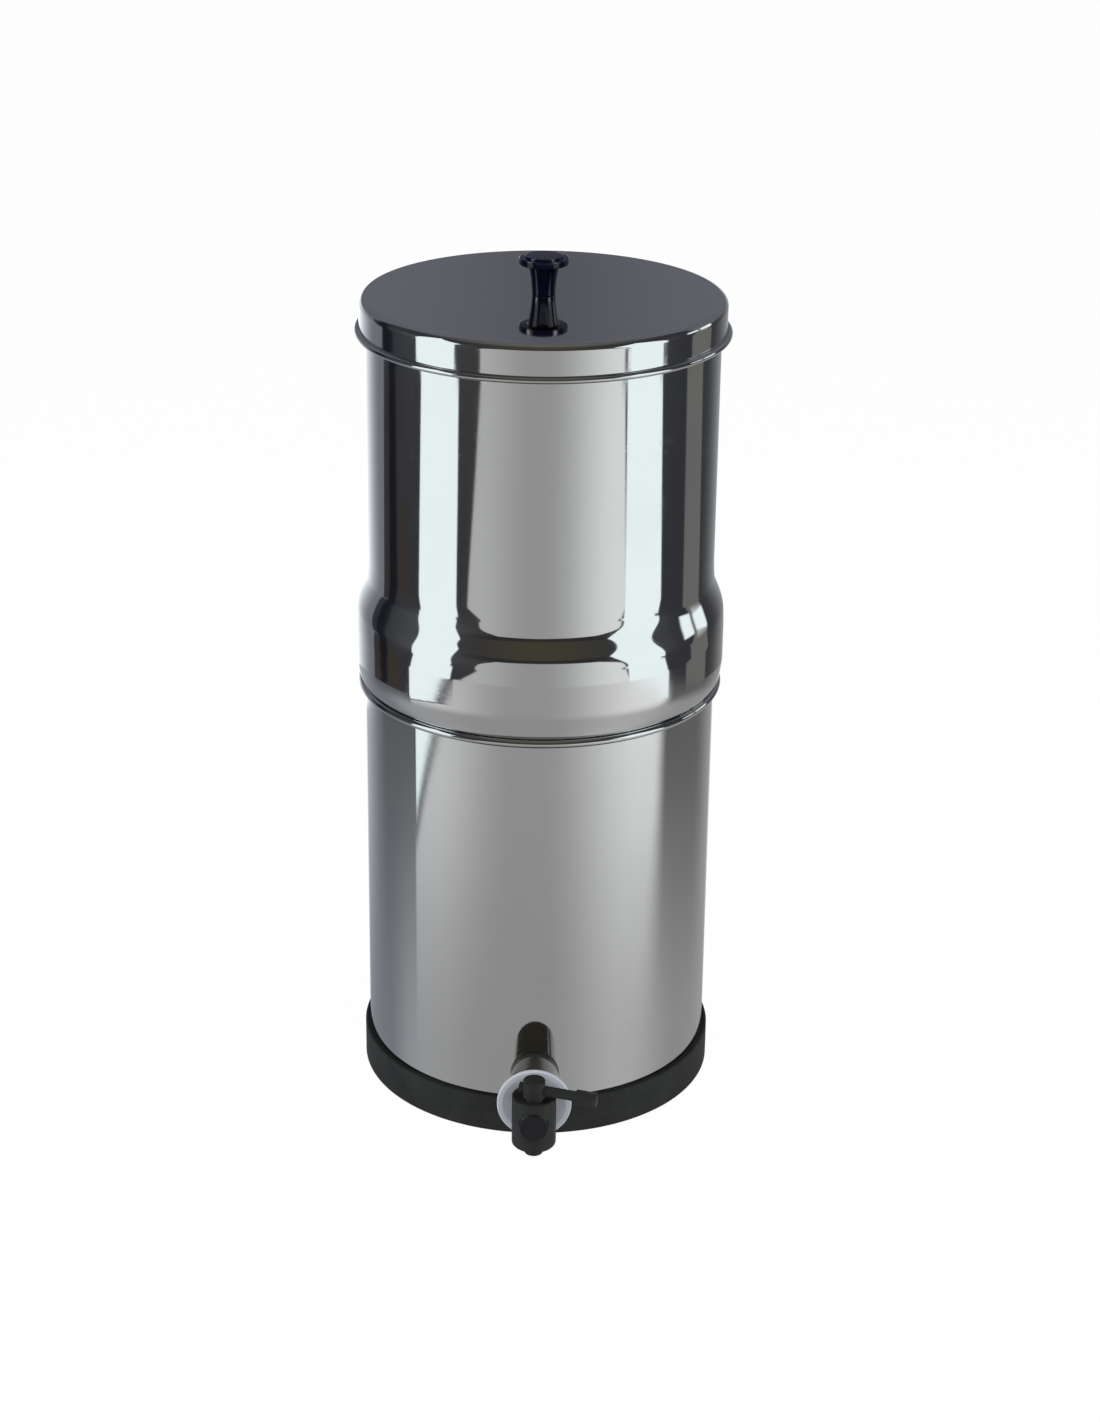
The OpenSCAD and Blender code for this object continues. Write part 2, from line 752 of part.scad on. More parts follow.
// Spool-shaped knob with a concave neck, bored for its screw and recessed for its cap
module knob() {
    neck_steps = 10;
    bore_r = knob_screw_r + fit_gap;
    bore_end = knob_screw_l + fit_gap;
    recess_r = knob_cap_r + fit_gap;
    recess_z = knob_h - knob_cap_d - fit_gap;
    color("#0b0b12")
        translate([0, 0, lid_top])
            rotate_extrude()
                polygon(concat(
                    [[bore_r, 0]],
                    [for (i = [0:neck_steps])
                        let (s = i / neck_steps)
                        [knob_foot_r + (knob_neck_r - knob_foot_r) * pow(s, knob_neck_bend),
                         knob_neck_h * s]],
                    arc([knob_flange_r - knob_edge_r, knob_neck_h + knob_edge_r], knob_edge_r, -90, 0),
                    arc([knob_flange_r - knob_edge_r, knob_h - knob_edge_r], knob_edge_r, 0, 90),
                    [
                        [recess_r, knob_h],
                        [recess_r, recess_z],
                        [0, recess_z],
                        [0, bore_end],
                        [bore_r, bore_end]
                    ]
                ));
}

// Disc set in the knob's flange
module knob_cap() {
    cap_t = knob_cap_d + knob_cap_rise;
    color("#0d0d15")
        translate([0, 0, lid_top + knob_h - knob_cap_d])
            rotate_extrude()
                polygon(concat(
                    [[0, 0], [knob_cap_r, 0]],
                    arc([knob_cap_r - knob_edge_r, cap_t - knob_edge_r], knob_edge_r, 0, 90),
                    [[0, cap_t]]
                ));
}

module knob_washer() {
    color("#a8aaae")
        translate([0, 0, lid_under - knob_washer_t])
            washer(knob_washer_r, knob_screw_r + fit_gap, knob_washer_t);
}

// Pan-head screw that holds the knob from inside the lid
module knob_screw() {
    head_top_z = lid_under - knob_washer_t;
    color("#a8aaae") {
        translate([0, 0, head_top_z - knob_head_t]) cylinder(r = knob_head_r, h = knob_head_t);
        translate([0, 0, head_top_z - knob_head_t / 2])
            cylinder(r = knob_screw_r, h = lid_top + knob_screw_l - head_top_z + knob_head_t / 2);
    }
}

base_ring();
lower_chamber();
wall_ring();
tap_sleeve();
sleeve_gasket();
cup_washer();
tap_body();
bonnet();
front_disc();
inner_washer();
lock_nut();
valve_plug();
o_ring(upper_o_ring_z);  // upper_o_ring
o_ring(lower_o_ring_z);  // lower_o_ring
tap_lever();
upper_chamber();
candle(-1);  // left_candle
candle(1);  // right_candle
candle_mount(-1);  // left_candle_mount
candle_mount(1);  // right_candle_mount
floor_washer(180);  // left_candle_washer
floor_washer(0);  // right_candle_washer
wing_nut(-1);  // left_wing_nut
wing_nut(1);  // right_wing_nut
blanking_plug(270);  // front_blanking_plug
blanking_plug(90);  // back_blanking_plug
floor_washer(270);  // front_plug_washer
floor_washer(90);  // back_plug_washer
plug_nut(270);  // front_plug_nut
plug_nut(90);  // back_plug_nut
lid();
knob();
knob_cap();
knob_screw();
knob_washer();
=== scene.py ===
# %% [markdown]
# # A gravity water filter with a tap, dressed for its portrait
# The CAD model gives the exact solids. This lesson puts finer skins and real finishes on them:
# polished steel cans, a gloss black knob, a rubber foot ring and a small black tap.
# The steel is almost a mirror, so most of the likeness lies in what surrounds it. The studio is
# therefore built with as much care as the object.

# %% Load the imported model
import json
import math

import bmesh
import bpy
from mathutils import Matrix, Vector


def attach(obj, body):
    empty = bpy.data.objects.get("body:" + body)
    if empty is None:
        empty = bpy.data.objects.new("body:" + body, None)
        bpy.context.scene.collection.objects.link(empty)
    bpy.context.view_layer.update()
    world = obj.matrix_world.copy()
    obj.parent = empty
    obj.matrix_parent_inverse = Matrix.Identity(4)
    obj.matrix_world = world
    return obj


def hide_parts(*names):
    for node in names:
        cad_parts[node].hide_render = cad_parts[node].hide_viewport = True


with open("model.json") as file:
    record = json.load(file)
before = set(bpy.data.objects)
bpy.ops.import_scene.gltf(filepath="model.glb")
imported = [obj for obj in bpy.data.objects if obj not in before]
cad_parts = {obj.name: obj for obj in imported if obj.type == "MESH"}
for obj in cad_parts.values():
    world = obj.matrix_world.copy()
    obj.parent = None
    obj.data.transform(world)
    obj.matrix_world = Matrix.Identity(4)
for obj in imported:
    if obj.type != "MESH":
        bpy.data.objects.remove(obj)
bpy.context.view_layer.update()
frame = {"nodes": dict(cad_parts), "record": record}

MM = 0.001

# %% [markdown]
# ## The camera
# The photographer stood in front of the tap and looked down on the filter by about 23 degrees.
# A long lens keeps the sides of the cans nearly parallel. The camera could be turned with Euler
# angles, but a matrix built from its three directions says more plainly where it looks.

# %% Camera
camera_at = Vector((0.00667, -1.6446, 0.93559))
look_down = math.radians(23.03)
camera_roll = math.radians(0.69)
forward = Vector((0, math.cos(look_down), -math.sin(look_down)))
level_right = Vector((1, 0, 0))
level_up = level_right.cross(forward)
right = level_right * math.cos(camera_roll) + level_up * math.sin(camera_roll)
up = level_up * math.cos(camera_roll) - level_right * math.sin(camera_roll)
lens_data = bpy.data.cameras.new("portrait_lens")
lens_data.sensor_fit = "VERTICAL"
lens_data.sensor_height = 24
lens_data.lens = 48.67
camera = bpy.data.objects.new("portrait_camera", lens_data)
camera.matrix_world = Matrix((
    (right.x, up.x, -forward.x, camera_at.x),
    (right.y, up.y, -forward.y, camera_at.y),
    (right.z, up.z, -forward.z, camera_at.z),
    (0, 0, 0, 1),
))
bpy.context.scene.collection.objects.link(camera)
bpy.context.scene.camera = camera
bpy.context.scene.view_settings.view_transform = "Standard"
print("camera looks down by", round(math.degrees(look_down), 1), "degrees")

# %% [markdown]
# ## Shader maths as plain expressions
# A node tree is hard to read as code. Here a Wire wraps one socket, so that a sum written in
# Python adds the Math nodes by itself, and a Board makes every other kind of node.

# %% Wires and boards
class Wire:
    """One output socket that can be used in sums."""

    def __init__(self, board, socket):
        self.board, self.socket = board, socket

    def __add__(self, other):
        return self.board.math("ADD", self, other)

    def __radd__(self, other):
        return self.board.math("ADD", other, self)

    def __sub__(self, other):
        return self.board.math("SUBTRACT", self, other)

    def __rsub__(self, other):
        return self.board.math("SUBTRACT", other, self)

    def __mul__(self, other):
        return self.board.math("MULTIPLY", self, other)

    def __rmul__(self, other):
        return self.board.math("MULTIPLY", other, self)

    def __truediv__(self, other):
        return self.board.math("DIVIDE", self, other)


class Board:
    """A node tree that is being wired."""

    def __init__(self, tree):
        self.tree = tree
        tree.nodes.clear()

    def add(self, kind, settings=None, sockets=None, out=0):
        node = self.tree.nodes.new(kind)
        for name, value in (settings or {}).items():
            if name == "stops":
                ramp = node.color_ramp
                while len(ramp.elements) < len(value):
                    ramp.elements.new(0.5)
                for element, (place, colour) in zip(ramp.elements, value):
                    element.position = place
                    element.color = (*colour, 1)
            else:
                setattr(node, name, value)
        for name, value in (sockets or {}).items():
            if isinstance(value, Wire):
                self.tree.links.new(value.socket, node.inputs[name])
            else:
                node.inputs[name].default_value = value
        return Wire(self, node.outputs[out]) if len(node.outputs) else node

    def math(self, operation, a, b=0.0, clamp=False):
        settings = {"operation": operation, "use_clamp": clamp}
        return self.add("ShaderNodeMath", settings, {0: a, 1: b})

    def step(self, value, low, high):
        """0 at low, 1 at high, and a soft way between; either one may be the larger."""
        sockets = {"Value": value, "From Min": low, "From Max": high}
        return self.add("ShaderNodeMapRange", {"interpolation_type": "SMOOTHSTEP"}, sockets)

    def blend(self, share, colour_a, colour_b):
        """colour_a where share is 0, colour_b where it is 1."""
        colours = [c if isinstance(c, Wire) else (*c, 1) for c in (colour_a, colour_b)]
        sockets = {0: share, 6: colours[0], 7: colours[1]}
        return self.add("ShaderNodeMix", {"data_type": "RGBA"}, sockets, out=2)

    def noise(self, place, scale, detail=2.0, rough=0.5):
        sockets = {"Vector": place, "Scale": scale, "Detail": detail, "Roughness": rough}
        return self.add("ShaderNodeTexNoise", {}, sockets)

    def split(self, vector):
        """The x, y and z of a vector."""
        first = self.add("ShaderNodeSeparateXYZ", {}, {0: vector})
        return [Wire(self, first.socket.node.outputs[i]) for i in range(3)]


print("shader tools ready")

# %% [markdown]
# ## The studio that the steel shows
# A steel can shows the room round it, squeezed into upright stripes. Real cards and lamps could
# stand round the filter, but they would get in the way of every other camera. The world itself
# is a tidier place: for reflected rays it draws two tall white softboxes, a grey card in front,
# dark gaps between them, a brown ceiling and a table that is lightest beside the softboxes. The
# camera sees a plain white room, and soft light comes evenly from all round.

# %% Directions in the world
world = bpy.data.worlds.new("studio")
bpy.context.scene.world = world
world.use_nodes = True
# Lit by direct sampling alone, so that no surface mixes the plain fill into its reflections
world.cycles.sampling_method = "NONE"
room = Board(world.node_tree)
way = room.add("ShaderNodeTexCoord")
east, north, height = room.split(way)
rise = room.math("ARCSINE", height) * (180 / math.pi)
bearing = room.math("ARCTAN2", east, 0 - north) * (180 / math.pi)


def rising(start_deg, end_deg):
    """0 at one bearing and 1 at another, with a soft way between."""
    return room.step(bearing, start_deg, end_deg)


def panel(left, right_end, low, high, side=0.8, brim=0.8):
    """Where a card stands: its bearings and heights in degrees, with soft sides and brims."""
    across = room.step(bearing - left, -side, side) * room.step(bearing - right_end, side, -side)
    return across * room.step(rise - low, -brim, brim) * room.step(rise - high, brim, -brim)


def hump(centre, width):
    """1 at a bearing, falling smoothly to 0 at width degrees on either side."""
    return room.step(room.math("ABSOLUTE", bearing - centre), width, 0.0)


print("bearing 0 is towards the camera's side, -90 to its left, 90 to its right")

# %% [markdown]
# ## Bands of the filter
# From top to bottom a mirrored ray comes off the lid, the straight wall, the flare or the bulge.
# The real softboxes stand only a few steps away, so each of these bands sees a box's edge at its
# own bearing. Boxes with real depth would do that by themselves but stand in other cameras' way.
# A world knows directions only, so the height of a ray tells its band, and every upright edge
# has one bearing per band. Everything below the bulge, the lower can too, counts as bulge. The
# heights fit the view from the front. From other sides an edge may step where two bands meet.

# %% Which band of the filter sees a ray
# The bands meet at heights, in degrees, that bend a little on the way round
turn = 1 - room.math("COSINE", bearing * (math.pi / 360))
lid_foot = -16.5 + 1.07 * turn
by_lid = room.step(rise - lid_foot, -0.08, 0.08)
by_flare = room.step(rise - lid_foot, 0.66, 0.84)
by_bulge = room.step(rise + 21.75 - 1.3 * turn, 0.45, -0.45)
down_wall = room.math("MINIMUM", room.math("MAXIMUM", lid_foot - 0.25 - rise, 0.0), 4.2)
up_flare = room.math("MAXIMUM", rise + 16, 0.0)


def edge(lid, wall, spread, flare, slope, bend, bulge):
    """The bearing of an upright edge on each band; spread, slope and bend make it lean."""
    place = wall + spread * down_wall
    leaning = flare + slope * up_flare + bend * up_flare * up_flare
    for share, other in ((by_lid, lid), (by_flare, leaning), (by_bulge, bulge)):
        place = place + share * (other - place)
    return place


print("bands: lid, wall, flare, bulge")

# %% [markdown]
# ## Walls of the studio
# The dark gaps between the stripes are not black: they are warmer in front, navy and brown at
# the left, and hazy beside the softboxes. Behind the filter the walls grow light. A photograph
# of a studio could be wrapped round the scene instead, but it would show a room of its own.
# Each wall is therefore a soft-edged panel of one colour, laid over those before it. The panels
# on both sides reach just past the bearing behind the filter and meet there in one colour.

# %% The dark room and its walls
white, dark, warm_dark = (1.22, 1.34, 1.34), (0.045, 0.046, 0.054), (0.075, 0.066, 0.046)
daylight, high_wall = (1.35, 1.4, 1.46), (0.16, 0.165, 0.19)
BEHIND, TABLE_DEEP = 181, -60  # degrees: past the room's back seam, and far below the table's edge

view = room.blend(hump(0, 68), dark, warm_dark)
ceiling = room.step(rise, 42, 80)
view = room.blend(ceiling, view, (0.16, 0.155, 0.15))
front_beam = panel(-58, 44, 5, 13, 5, 1.5)
view = room.blend(front_beam, view, (0.036, 0.035, 0.034))
brown_foot = panel(-123, -96, -24, -19, 6, 2.5)
view = room.blend(0.9 * brown_foot, view, (0.06, 0.046, 0.036))
navy_left = edge(-117, -116, -0.5, -117.5, -0.1, 0, -118)
navy_right = edge(-106, -108.5, 0, -108.5, 0, 0, -110)
view = room.blend(panel(navy_left, navy_right, -30, 20, 2, 3), view, (0.014, 0.015, 0.021))
# A blue-grey wall behind on the left, lighter towards the back, and a grey one on the right
left_wall = room.blend(rising(-128, -174), (0.22, 0.23, 0.26), daylight)
left_wall_end = edge(-118, -122.8, -0.7, -124, -0.1, 0, -126)
view = room.blend(panel(-BEHIND, left_wall_end, TABLE_DEEP, 6, 0.8, 1.2), view, left_wall)
view = room.blend(panel(-BEHIND, -122, 6, 60, 5, 5), view, high_wall)
right_wall = room.blend(rising(128, BEHIND), (0.055, 0.055, 0.06), (0.42, 0.44, 0.45))
right_wall = room.blend(rising(166, 180), right_wall, daylight)
view = room.blend(panel(127, BEHIND, TABLE_DEEP, 6, 1.5, 1.5), view, right_wall)
view = room.blend(panel(118, BEHIND, 6, 60, 5, 5), view, high_wall)
post_left = edge(105.4, 106, 0.6, 107.7, 0, 0, 104.2)
post_right = edge(128, 125, 1.0, 124, 0, 0, 127)
view = room.blend(panel(post_left, post_right, TABLE_DEEP, 30, 0.9, 3), view, (0.19, 0.19, 0.18))
haze = room.step(rise, -22, -9) * (0.8 * hump(-72, 46) + 0.65 * hump(66, 36))
view = room.blend(haze * room.step(rise, 24, 6), view, (0.12, 0.122, 0.135))
print("room drawn")

# %% [markdown]
# ## Card, table and softboxes
# The middle of the steel mirrors a grey card with an arched top, lit from both sides. Below it
# lies the table, which catches the softboxes' light. The white stripes are the softboxes
# themselves, and two small windows shine far round on the right. All of them are panels again,
# because measured edges can be typed in as bearings.

# %% The grey card in front, an arch with its own light from both sides
card = room.blend(rising(2, 53), (0.425, 0.43, 0.42), (0.99, 1.01, 1.0))
card = room.blend(rising(-6, -42), card, (0.6, 0.61, 0.595))
box_side = edge(53.8, 55.9, 0.35, 55.9, -0.36, -0.003, 57.5)
arch = room.step(rise, -12, 9)
card_left = edge(-38.3, -39.2, -2.2, -39.6, 0.3, 0, -55) + 8 * arch * arch
card_right = box_side - edge(2.2, 1.8, -0.5, 1.8, 0, 0, 0) - 13 * arch * arch
card_top = 6.9 - 0.0022 * bearing * bearing
view = room.blend(panel(card_left, card_right, -90, card_top, 0.8, 0.8), view, card)
print("card drawn")

# %% The table, lightest beside the softboxes and behind the filter
inside = 0.42 + 0.4 * rising(-16, -75) + 0.6 * rising(2, 72)
outside = 0.16 + 0.36 * rising(-118, -162) + 0.65 * rising(-160, -174)
outside = outside + 0.2 * rising(126, 158) + 0.81 * rising(158, 178)
# The bright part ends sharply beside the left softbox, and more softly the lower it lies on
# the right
soft = room.step(rise, -23.8, -29)
between = rising(-89.8, -88.4) * rising(94 + 3 * soft, 82 - 10 * soft)
near_table = outside + between * (inside - outside)
under_table = 0.39 + 0.06 * hump(-78, 45) + 0.19 * hump(60, 54) - 0.12 * rising(-92, -120)
under_table = under_table + 0.04 * rising(-140, -176) - 0.08 * rising(150, 179)
glow_of_table = near_table + room.step(rise, -23, -30) * (under_table - near_table)
glow_of_table = glow_of_table * (1 - 0.85 * room.step(rise, -56, -66))
table_tint = room.blend(rising(-60, -120) + rising(160, 180), (1, 1.005, 0.99), (0.93, 0.97, 1.06))
grey = room.add("ShaderNodeCombineColor", {}, dict.fromkeys(range(3), glow_of_table))
product = {"data_type": "RGBA", "blend_type": "MULTIPLY"}
table = room.add("ShaderNodeMix", product, {0: 1.0, 6: grey, 7: table_tint}, out=2)
# Its far edge runs down beside the left softbox
away = room.math("MULTIPLY", (-30 - bearing) / 58, 1.0, clamp=True)
table_edge = -22.3 + rising(-90.5, -88.8) * (0.45 - 3.7 * away * away)
table_edge = table_edge - 0.6 * rising(-89, -93) - 0.6 * rising(86, 90)
view = room.blend(room.step(rise - table_edge, 0.07, -0.07), view, table)
print("table drawn")

# %% Two softboxes, a dark frame under the left one, and two small windows
BOX_TOP = 52
left_end = edge(-84.5, -83.4, -0.8, -84.3, 0.12, 0, -88.5)
left_side = edge(-55.8, -54.4, -0.5, -55, 0, 0.0038, -57)
left_side = left_side - 1.3 * room.math("MAXIMUM", rise - 15.5, 0.0)
frame_of_box = panel(-90, -58, table_edge, -16.5, 0.5, 0.07)
view = room.blend(frame_of_box, view, (0.05, 0.052, 0.06))
view = room.blend(panel(left_end, left_side, table_edge + 0.55, BOX_TOP, 0.5, 0.07), view, white)
right_foot = room.math("MAXIMUM", -22.2 - 0.025 * (bearing - 60), -22.9)
box_corner = box_side + 1.6 * room.math("MAXIMUM", rise - 12, 0.0)
right_end = edge(79.6, 82.7, 0.85, 82.9, -0.12, -0.006, 88)
view = room.blend(panel(box_corner, right_end, right_foot, BOX_TOP, 0.5, 0.08), view, white)
view = room.blend(panel(98.5, 108.5, -2.5, 10, 1.4, 1.6), view, white)
window_light = 0.75 * room.step(rise, -15, 0) * panel(111.5, 123, -16, 10, 1.6, 2.0)
view = room.blend(window_light, view, (0.9, 0.95, 0.95))
view = room.blend(panel(111.5, 123.5, -3 - 0.5 * (bearing - 116), 11, 1.4, 1.6), view, white)
print("softboxes drawn")

# %% [markdown]
# ## Who sees what
# Mirrored rays see the studio. The camera and clear materials see plain white, as in the
# photograph's background, and everything else is lit by one even grey fill. Light Path tells
# the kinds of ray apart, which is simpler than three separate worlds.

# %% Who sees what
glossy = room.add("ShaderNodeLightPath", out="Is Glossy Ray")
seen = Wire(room, glossy.socket.node.outputs["Is Camera Ray"])
through = Wire(room, glossy.socket.node.outputs["Is Transmission Ray"])
fill = (0.42, 0.43, 0.44)
plain = room.blend(seen + through, fill, (1, 1, 1))
colour_seen = room.blend(glossy, plain, view)
sky = room.add("ShaderNodeBackground", {}, {"Color": colour_seen, "Strength": 1.0})
room.add("ShaderNodeOutputWorld", {}, {"Surface": sky})
print("world nodes:", len(world.node_tree.nodes))

# %% [markdown]
# ## Lamps and floor
# Two tall softboxes light the tap and the ring from the sides, and a broad lamp overhead fills
# the tops. They don't show in the steel, because the world already draws them there. The floor
# is a plain pale sheet that keeps a faint shadow.

# %% Lamps
AIM = Vector((0, 0, 0.25))


def softbox(name, bearing_deg, distance, centre_height, width, tall, power):
    """A soft lamp that stands at a bearing round the filter and faces it."""
    data = bpy.data.lights.new(name, "AREA")
    data.shape = "RECTANGLE"
    data.size, data.size_y, data.energy = width, tall, power
    lamp = bpy.data.objects.new(name, data)
    a = math.radians(bearing_deg)
    lamp.location = (distance * math.sin(a), -distance * math.cos(a), centre_height)
    towards = AIM - lamp.location
    lamp.rotation_euler = towards.to_track_quat("-Z", "Y").to_euler()
    lamp.visible_glossy = False
    lamp.visible_camera = False
    bpy.context.scene.collection.objects.link(lamp)
    return lamp


softbox("left_softbox", -66, 1.7, 0.75, 0.7, 1.4, 26)
softbox("right_softbox", 62, 1.7, 0.75, 0.7, 1.4, 20)
softbox("top_softbox", 20, 0.5, 2.1, 1.4, 1.4, 20)

# %% Floor
floor_mesh = bpy.data.meshes.new("floor")
reach = 12.0
corners = [(x * reach, y * reach, 0) for x, y in ((-1, -1), (1, -1), (1, 1), (-1, 1))]
floor_mesh.from_pydata(corners, [], [(0, 1, 2, 3)])
floor = bpy.data.objects.new("floor", floor_mesh)
bpy.context.scene.collection.objects.link(floor)
floor.visible_glossy = False
pale = bpy.data.materials.new("pale_floor")
pale.use_nodes = True
sheet = Board(pale.node_tree)
matt = sheet.add("ShaderNodeBsdfDiffuse", {}, {"Color": (0.9, 0.9, 0.9, 1)})
glow = sheet.add("ShaderNodeEmission", {}, {"Color": (1, 1, 1, 1), "Strength": 1.0})
rays = sheet.add("ShaderNodeLightPath", out="Is Camera Ray")
through = Wire(sheet, rays.socket.node.outputs["Is Transmission Ray"])
# The glow hides all but a trace of the matt sheet, and that trace is the faint shadow
GLOW_SHARE = 0.97
shares = {0: (rays + through) * GLOW_SHARE, 1: matt, 2: glow}
mixed = sheet.add("ShaderNodeMixShader", {}, shares)
sheet.add("ShaderNodeOutputMaterial", {}, {"Surface": mixed})
floor_mesh.materials.append(pale)
print("floor laid")

# %% [markdown]
# ## Polished steel
# Spun and buffed sheet keeps very fine rings round its axis, a slow waviness that makes the
# stripes wander, and a few dull flecks and smudges. Each of these is a noise on the object's own
# coordinates: a ring's place is its radius and its height, so the lines run round the can.

# %% Helpers for finishes
finishes = {}


def begin(name):
    """The board of a new finish, and its object coordinates."""
    material = bpy.data.materials.new(f"{name}_finish")
    material.use_nodes = True
    finishes[name] = material
    board = Board(material.node_tree)
    return board, board.add("ShaderNodeTexCoord", out="Object")


def finish_with(board, varying, constants):
    """Closes a board with one Principled shader."""
    shader = board.add("ShaderNodeBsdfPrincipled", {}, {**constants, **varying})
    board.add("ShaderNodeOutputMaterial", {}, {"Surface": shader})


RINGS = 1400
MEAN_RADIUS = 0.105
HAIRLINE_DEPTH = 0.0000025


def steel(name, colour, shine, blur, wave):
    """Buffed sheet: colour, least roughness, how much it varies, and its waviness in metres."""
    board, place = begin(name)
    x, y, z = board.split(place)
    radius = board.math("SQRT", x * x + y * y)
    angle = board.math("ARCTAN2", x, y)
    # Fine rings: close together along the sheet and long on the way round
    ring_place = {0: radius * RINGS, 1: z * RINGS, 2: angle * 3}
    rings = board.add("ShaderNodeCombineXYZ", {}, ring_place)
    hairline = board.noise(rings, 1.0, 3.0, 0.6)
    smudge = board.step(board.noise(place, 14.0, 4.0, 0.55), 0.5, 0.75)
    fleck = board.step(board.noise(place, 420.0, 2.0, 0.7), 0.69, 0.76)
    wander = board.noise(place, 11.0, 1.0, 0.4)
    # Slanting polish strokes, in patches
    arc = angle * MEAN_RADIUS
    along, aside = 0.72 * arc + 0.69 * z, 0.69 * arc - 0.72 * z
    slanted = {0: along * 110, 1: aside * 3200, 2: radius * 40}
    stroke_place = board.add("ShaderNodeCombineXYZ", {}, slanted)
    patch = board.step(board.noise(place, 13.0, 2.0, 0.5), 0.5, 0.68)
    stroke = board.step(board.noise(stroke_place, 1.0, 2.0, 0.5), 0.6, 0.7) * patch
    rough = shine + blur * (0.6 * hairline + 0.7 * smudge) + 0.12 * fleck + 0.16 * stroke
    tone = board.blend(smudge * 0.25 + fleck * 0.3, colour, tuple(c * 0.86 for c in colour))
    slow = board.add("ShaderNodeBump", {}, {"Height": wander, "Distance": wave, "Strength": 1.0})
    fine = {"Height": hairline, "Distance": HAIRLINE_DEPTH, "Strength": 1.0, "Normal": slow}
    bumps = board.add("ShaderNodeBump", {}, fine)
    finish_with(board, {"Base Color": tone, "Roughness": rough, "Normal": bumps}, {"Metallic": 1.0})


steel("upper_steel", (0.64, 0.645, 0.65), 0.035, 0.03, 0.00012)
steel("lid_steel", (0.64, 0.645, 0.65), 0.035, 0.03, 0.00004)
steel("lower_steel", (0.63, 0.64, 0.64), 0.045, 0.04, 0.00008)
steel("screw_steel", (0.55, 0.56, 0.57), 0.2, 0.1, 0.00001)
print("steel finishes:", ", ".join(finishes))

# %% [markdown]
# ## Rubber, plastics and ceramic
# The foot ring is matt rubber with a dusty bloom. The tap is moulded in a satin black plastic
# with a fine grain, the knob and the tapered sleeve in a glossy one, and the cupped washer and
# the nuts in white nylon, the washer's white darkened to grey as painted shade. The candles are
# unglazed ceramic, slightly warm and finely pitted.

# %% Moulded and fired finishes
def moulded(name, colour, roughness, grain_size, grain_depth, uneven=0.1, mottle=0.15, gloss=0.5):
    """Plastic, rubber or ceramic: a slightly mottled colour, and a grain of some size and depth."""
    board, place = begin(name)
    grain = board.noise(place, 1.0 / grain_size, 3.0, 0.6)
    cloud = board.noise(place, 45.0, 3.0, 0.6)
    lighter = tuple(min(1.0, c * (1 + mottle)) for c in colour)
    darker = tuple(c * (1 - mottle) for c in colour)
    tone = board.blend(0.6 * cloud + 0.4 * grain, darker, lighter)
    rough = roughness + uneven * (cloud - 0.5)
    grained = {"Height": grain, "Distance": grain_depth, "Strength": 1.0}
    bumps = board.add("ShaderNodeBump", {}, grained)
    varying = {"Base Color": tone, "Roughness": rough, "Normal": bumps}
    finish_with(board, varying, {"Specular IOR Level": gloss})


moulded("ring_rubber", (0.017, 0.0175, 0.018), 0.55, 0.0009, 0.00005, 0.3, 1.0, 0.15)
moulded("washer_rubber", (0.012, 0.012, 0.013), 0.6, 0.0008, 0.00003)
moulded("tap_black", (0.0145, 0.015, 0.015), 0.38, 0.0006, 0.00007, 0.1, 0.5, 0.22)
moulded("disc_black", (0.007, 0.007, 0.0095), 0.34, 0.0006, 0.00004, 0.1, 0.3, 0.25)
moulded("sleeve_black", (0.02, 0.018, 0.013), 0.1, 0.0035, 0.00008, 0.05, 0.5, 1.0)
moulded("knob_black", (0.001, 0.001, 0.008), 0.12, 0.012, 0.00001, 0.04, 0.2, 0.45)
# The washer is white nylon like the nuts, but its colour is set about half as light, to a mid grey.
# This is painted shade for the little light that reaches it low in front.
moulded("cup_white", (0.37, 0.385, 0.42), 0.6, 0.003, 0.00002, 0.06, 0.04, 0.3)
moulded("nut_white", (0.74, 0.75, 0.77), 0.42, 0.002, 0.00002, 0.06, 0.04)
moulded("plug_black", (0.03, 0.03, 0.032), 0.45, 0.0008, 0.00003)
moulded("ceramic", (0.8, 0.77, 0.71), 0.85, 0.0011, 0.00012, 0.1, 0.06, 0.3)
finishes["mount_plastic"] = finishes["nut_white"]
print("finishes:", len(finishes))

# %% [markdown]
# Nuts, small washers, blanking plugs and O-rings keep the CAD's own solids, and need no more
# than a finish. Every node gets one, also those that a finer piece replaces later.

# %% Give every CAD node its finish
for row in frame["record"]["subparts"]:
    node = frame["nodes"][row["node"]]
    if not node.material_slots:
        node.data.materials.append(None)
    for slot in node.material_slots:
        slot.material = finishes[row["material_slot"]]
print("nodes dressed:", len(frame["nodes"]))

# %% [markdown]
# ## One tree for everything turned
# Nearly every piece of this filter is a form of revolution: a cross-section turned about an
# axis. Spin and the Screw modifier can do that, but a Geometry Nodes tree states the rule once.
# It lays out a grid of as many columns as steps and as many rows as the cross-section has
# points, and puts each point of the grid at its row's radius and height and its column's angle.
# Points that meet, at the seam and on the axis, are then merged.

# %% The turning tree
def socket_names(tree):
    """Identifiers of a tree's inputs by their names."""
    sockets = (item for item in tree.interface.items_tree if item.item_type == "SOCKET")
    return {socket.name: socket.identifier for socket in sockets}


def begin_tree(name, sizes):
    """A new tree: a geometry, some sizes and a finish go in, and a geometry comes out."""
    tree = bpy.data.node_groups.new(name, "GeometryNodeTree")
    inputs = {"Geometry": "Geometry", **sizes, "Finish": "Material"}
    for label, kind in inputs.items():
        tree.interface.new_socket(label, in_out="INPUT", socket_type=f"NodeSocket{kind}")
    tree.interface.new_socket("Geometry", in_out="OUTPUT", socket_type="NodeSocketGeometry")
    board = Board(tree)
    given = board.add("NodeGroupInput").socket.node
    return board, [Wire(board, given.outputs[i]) for i in range(len(inputs))]


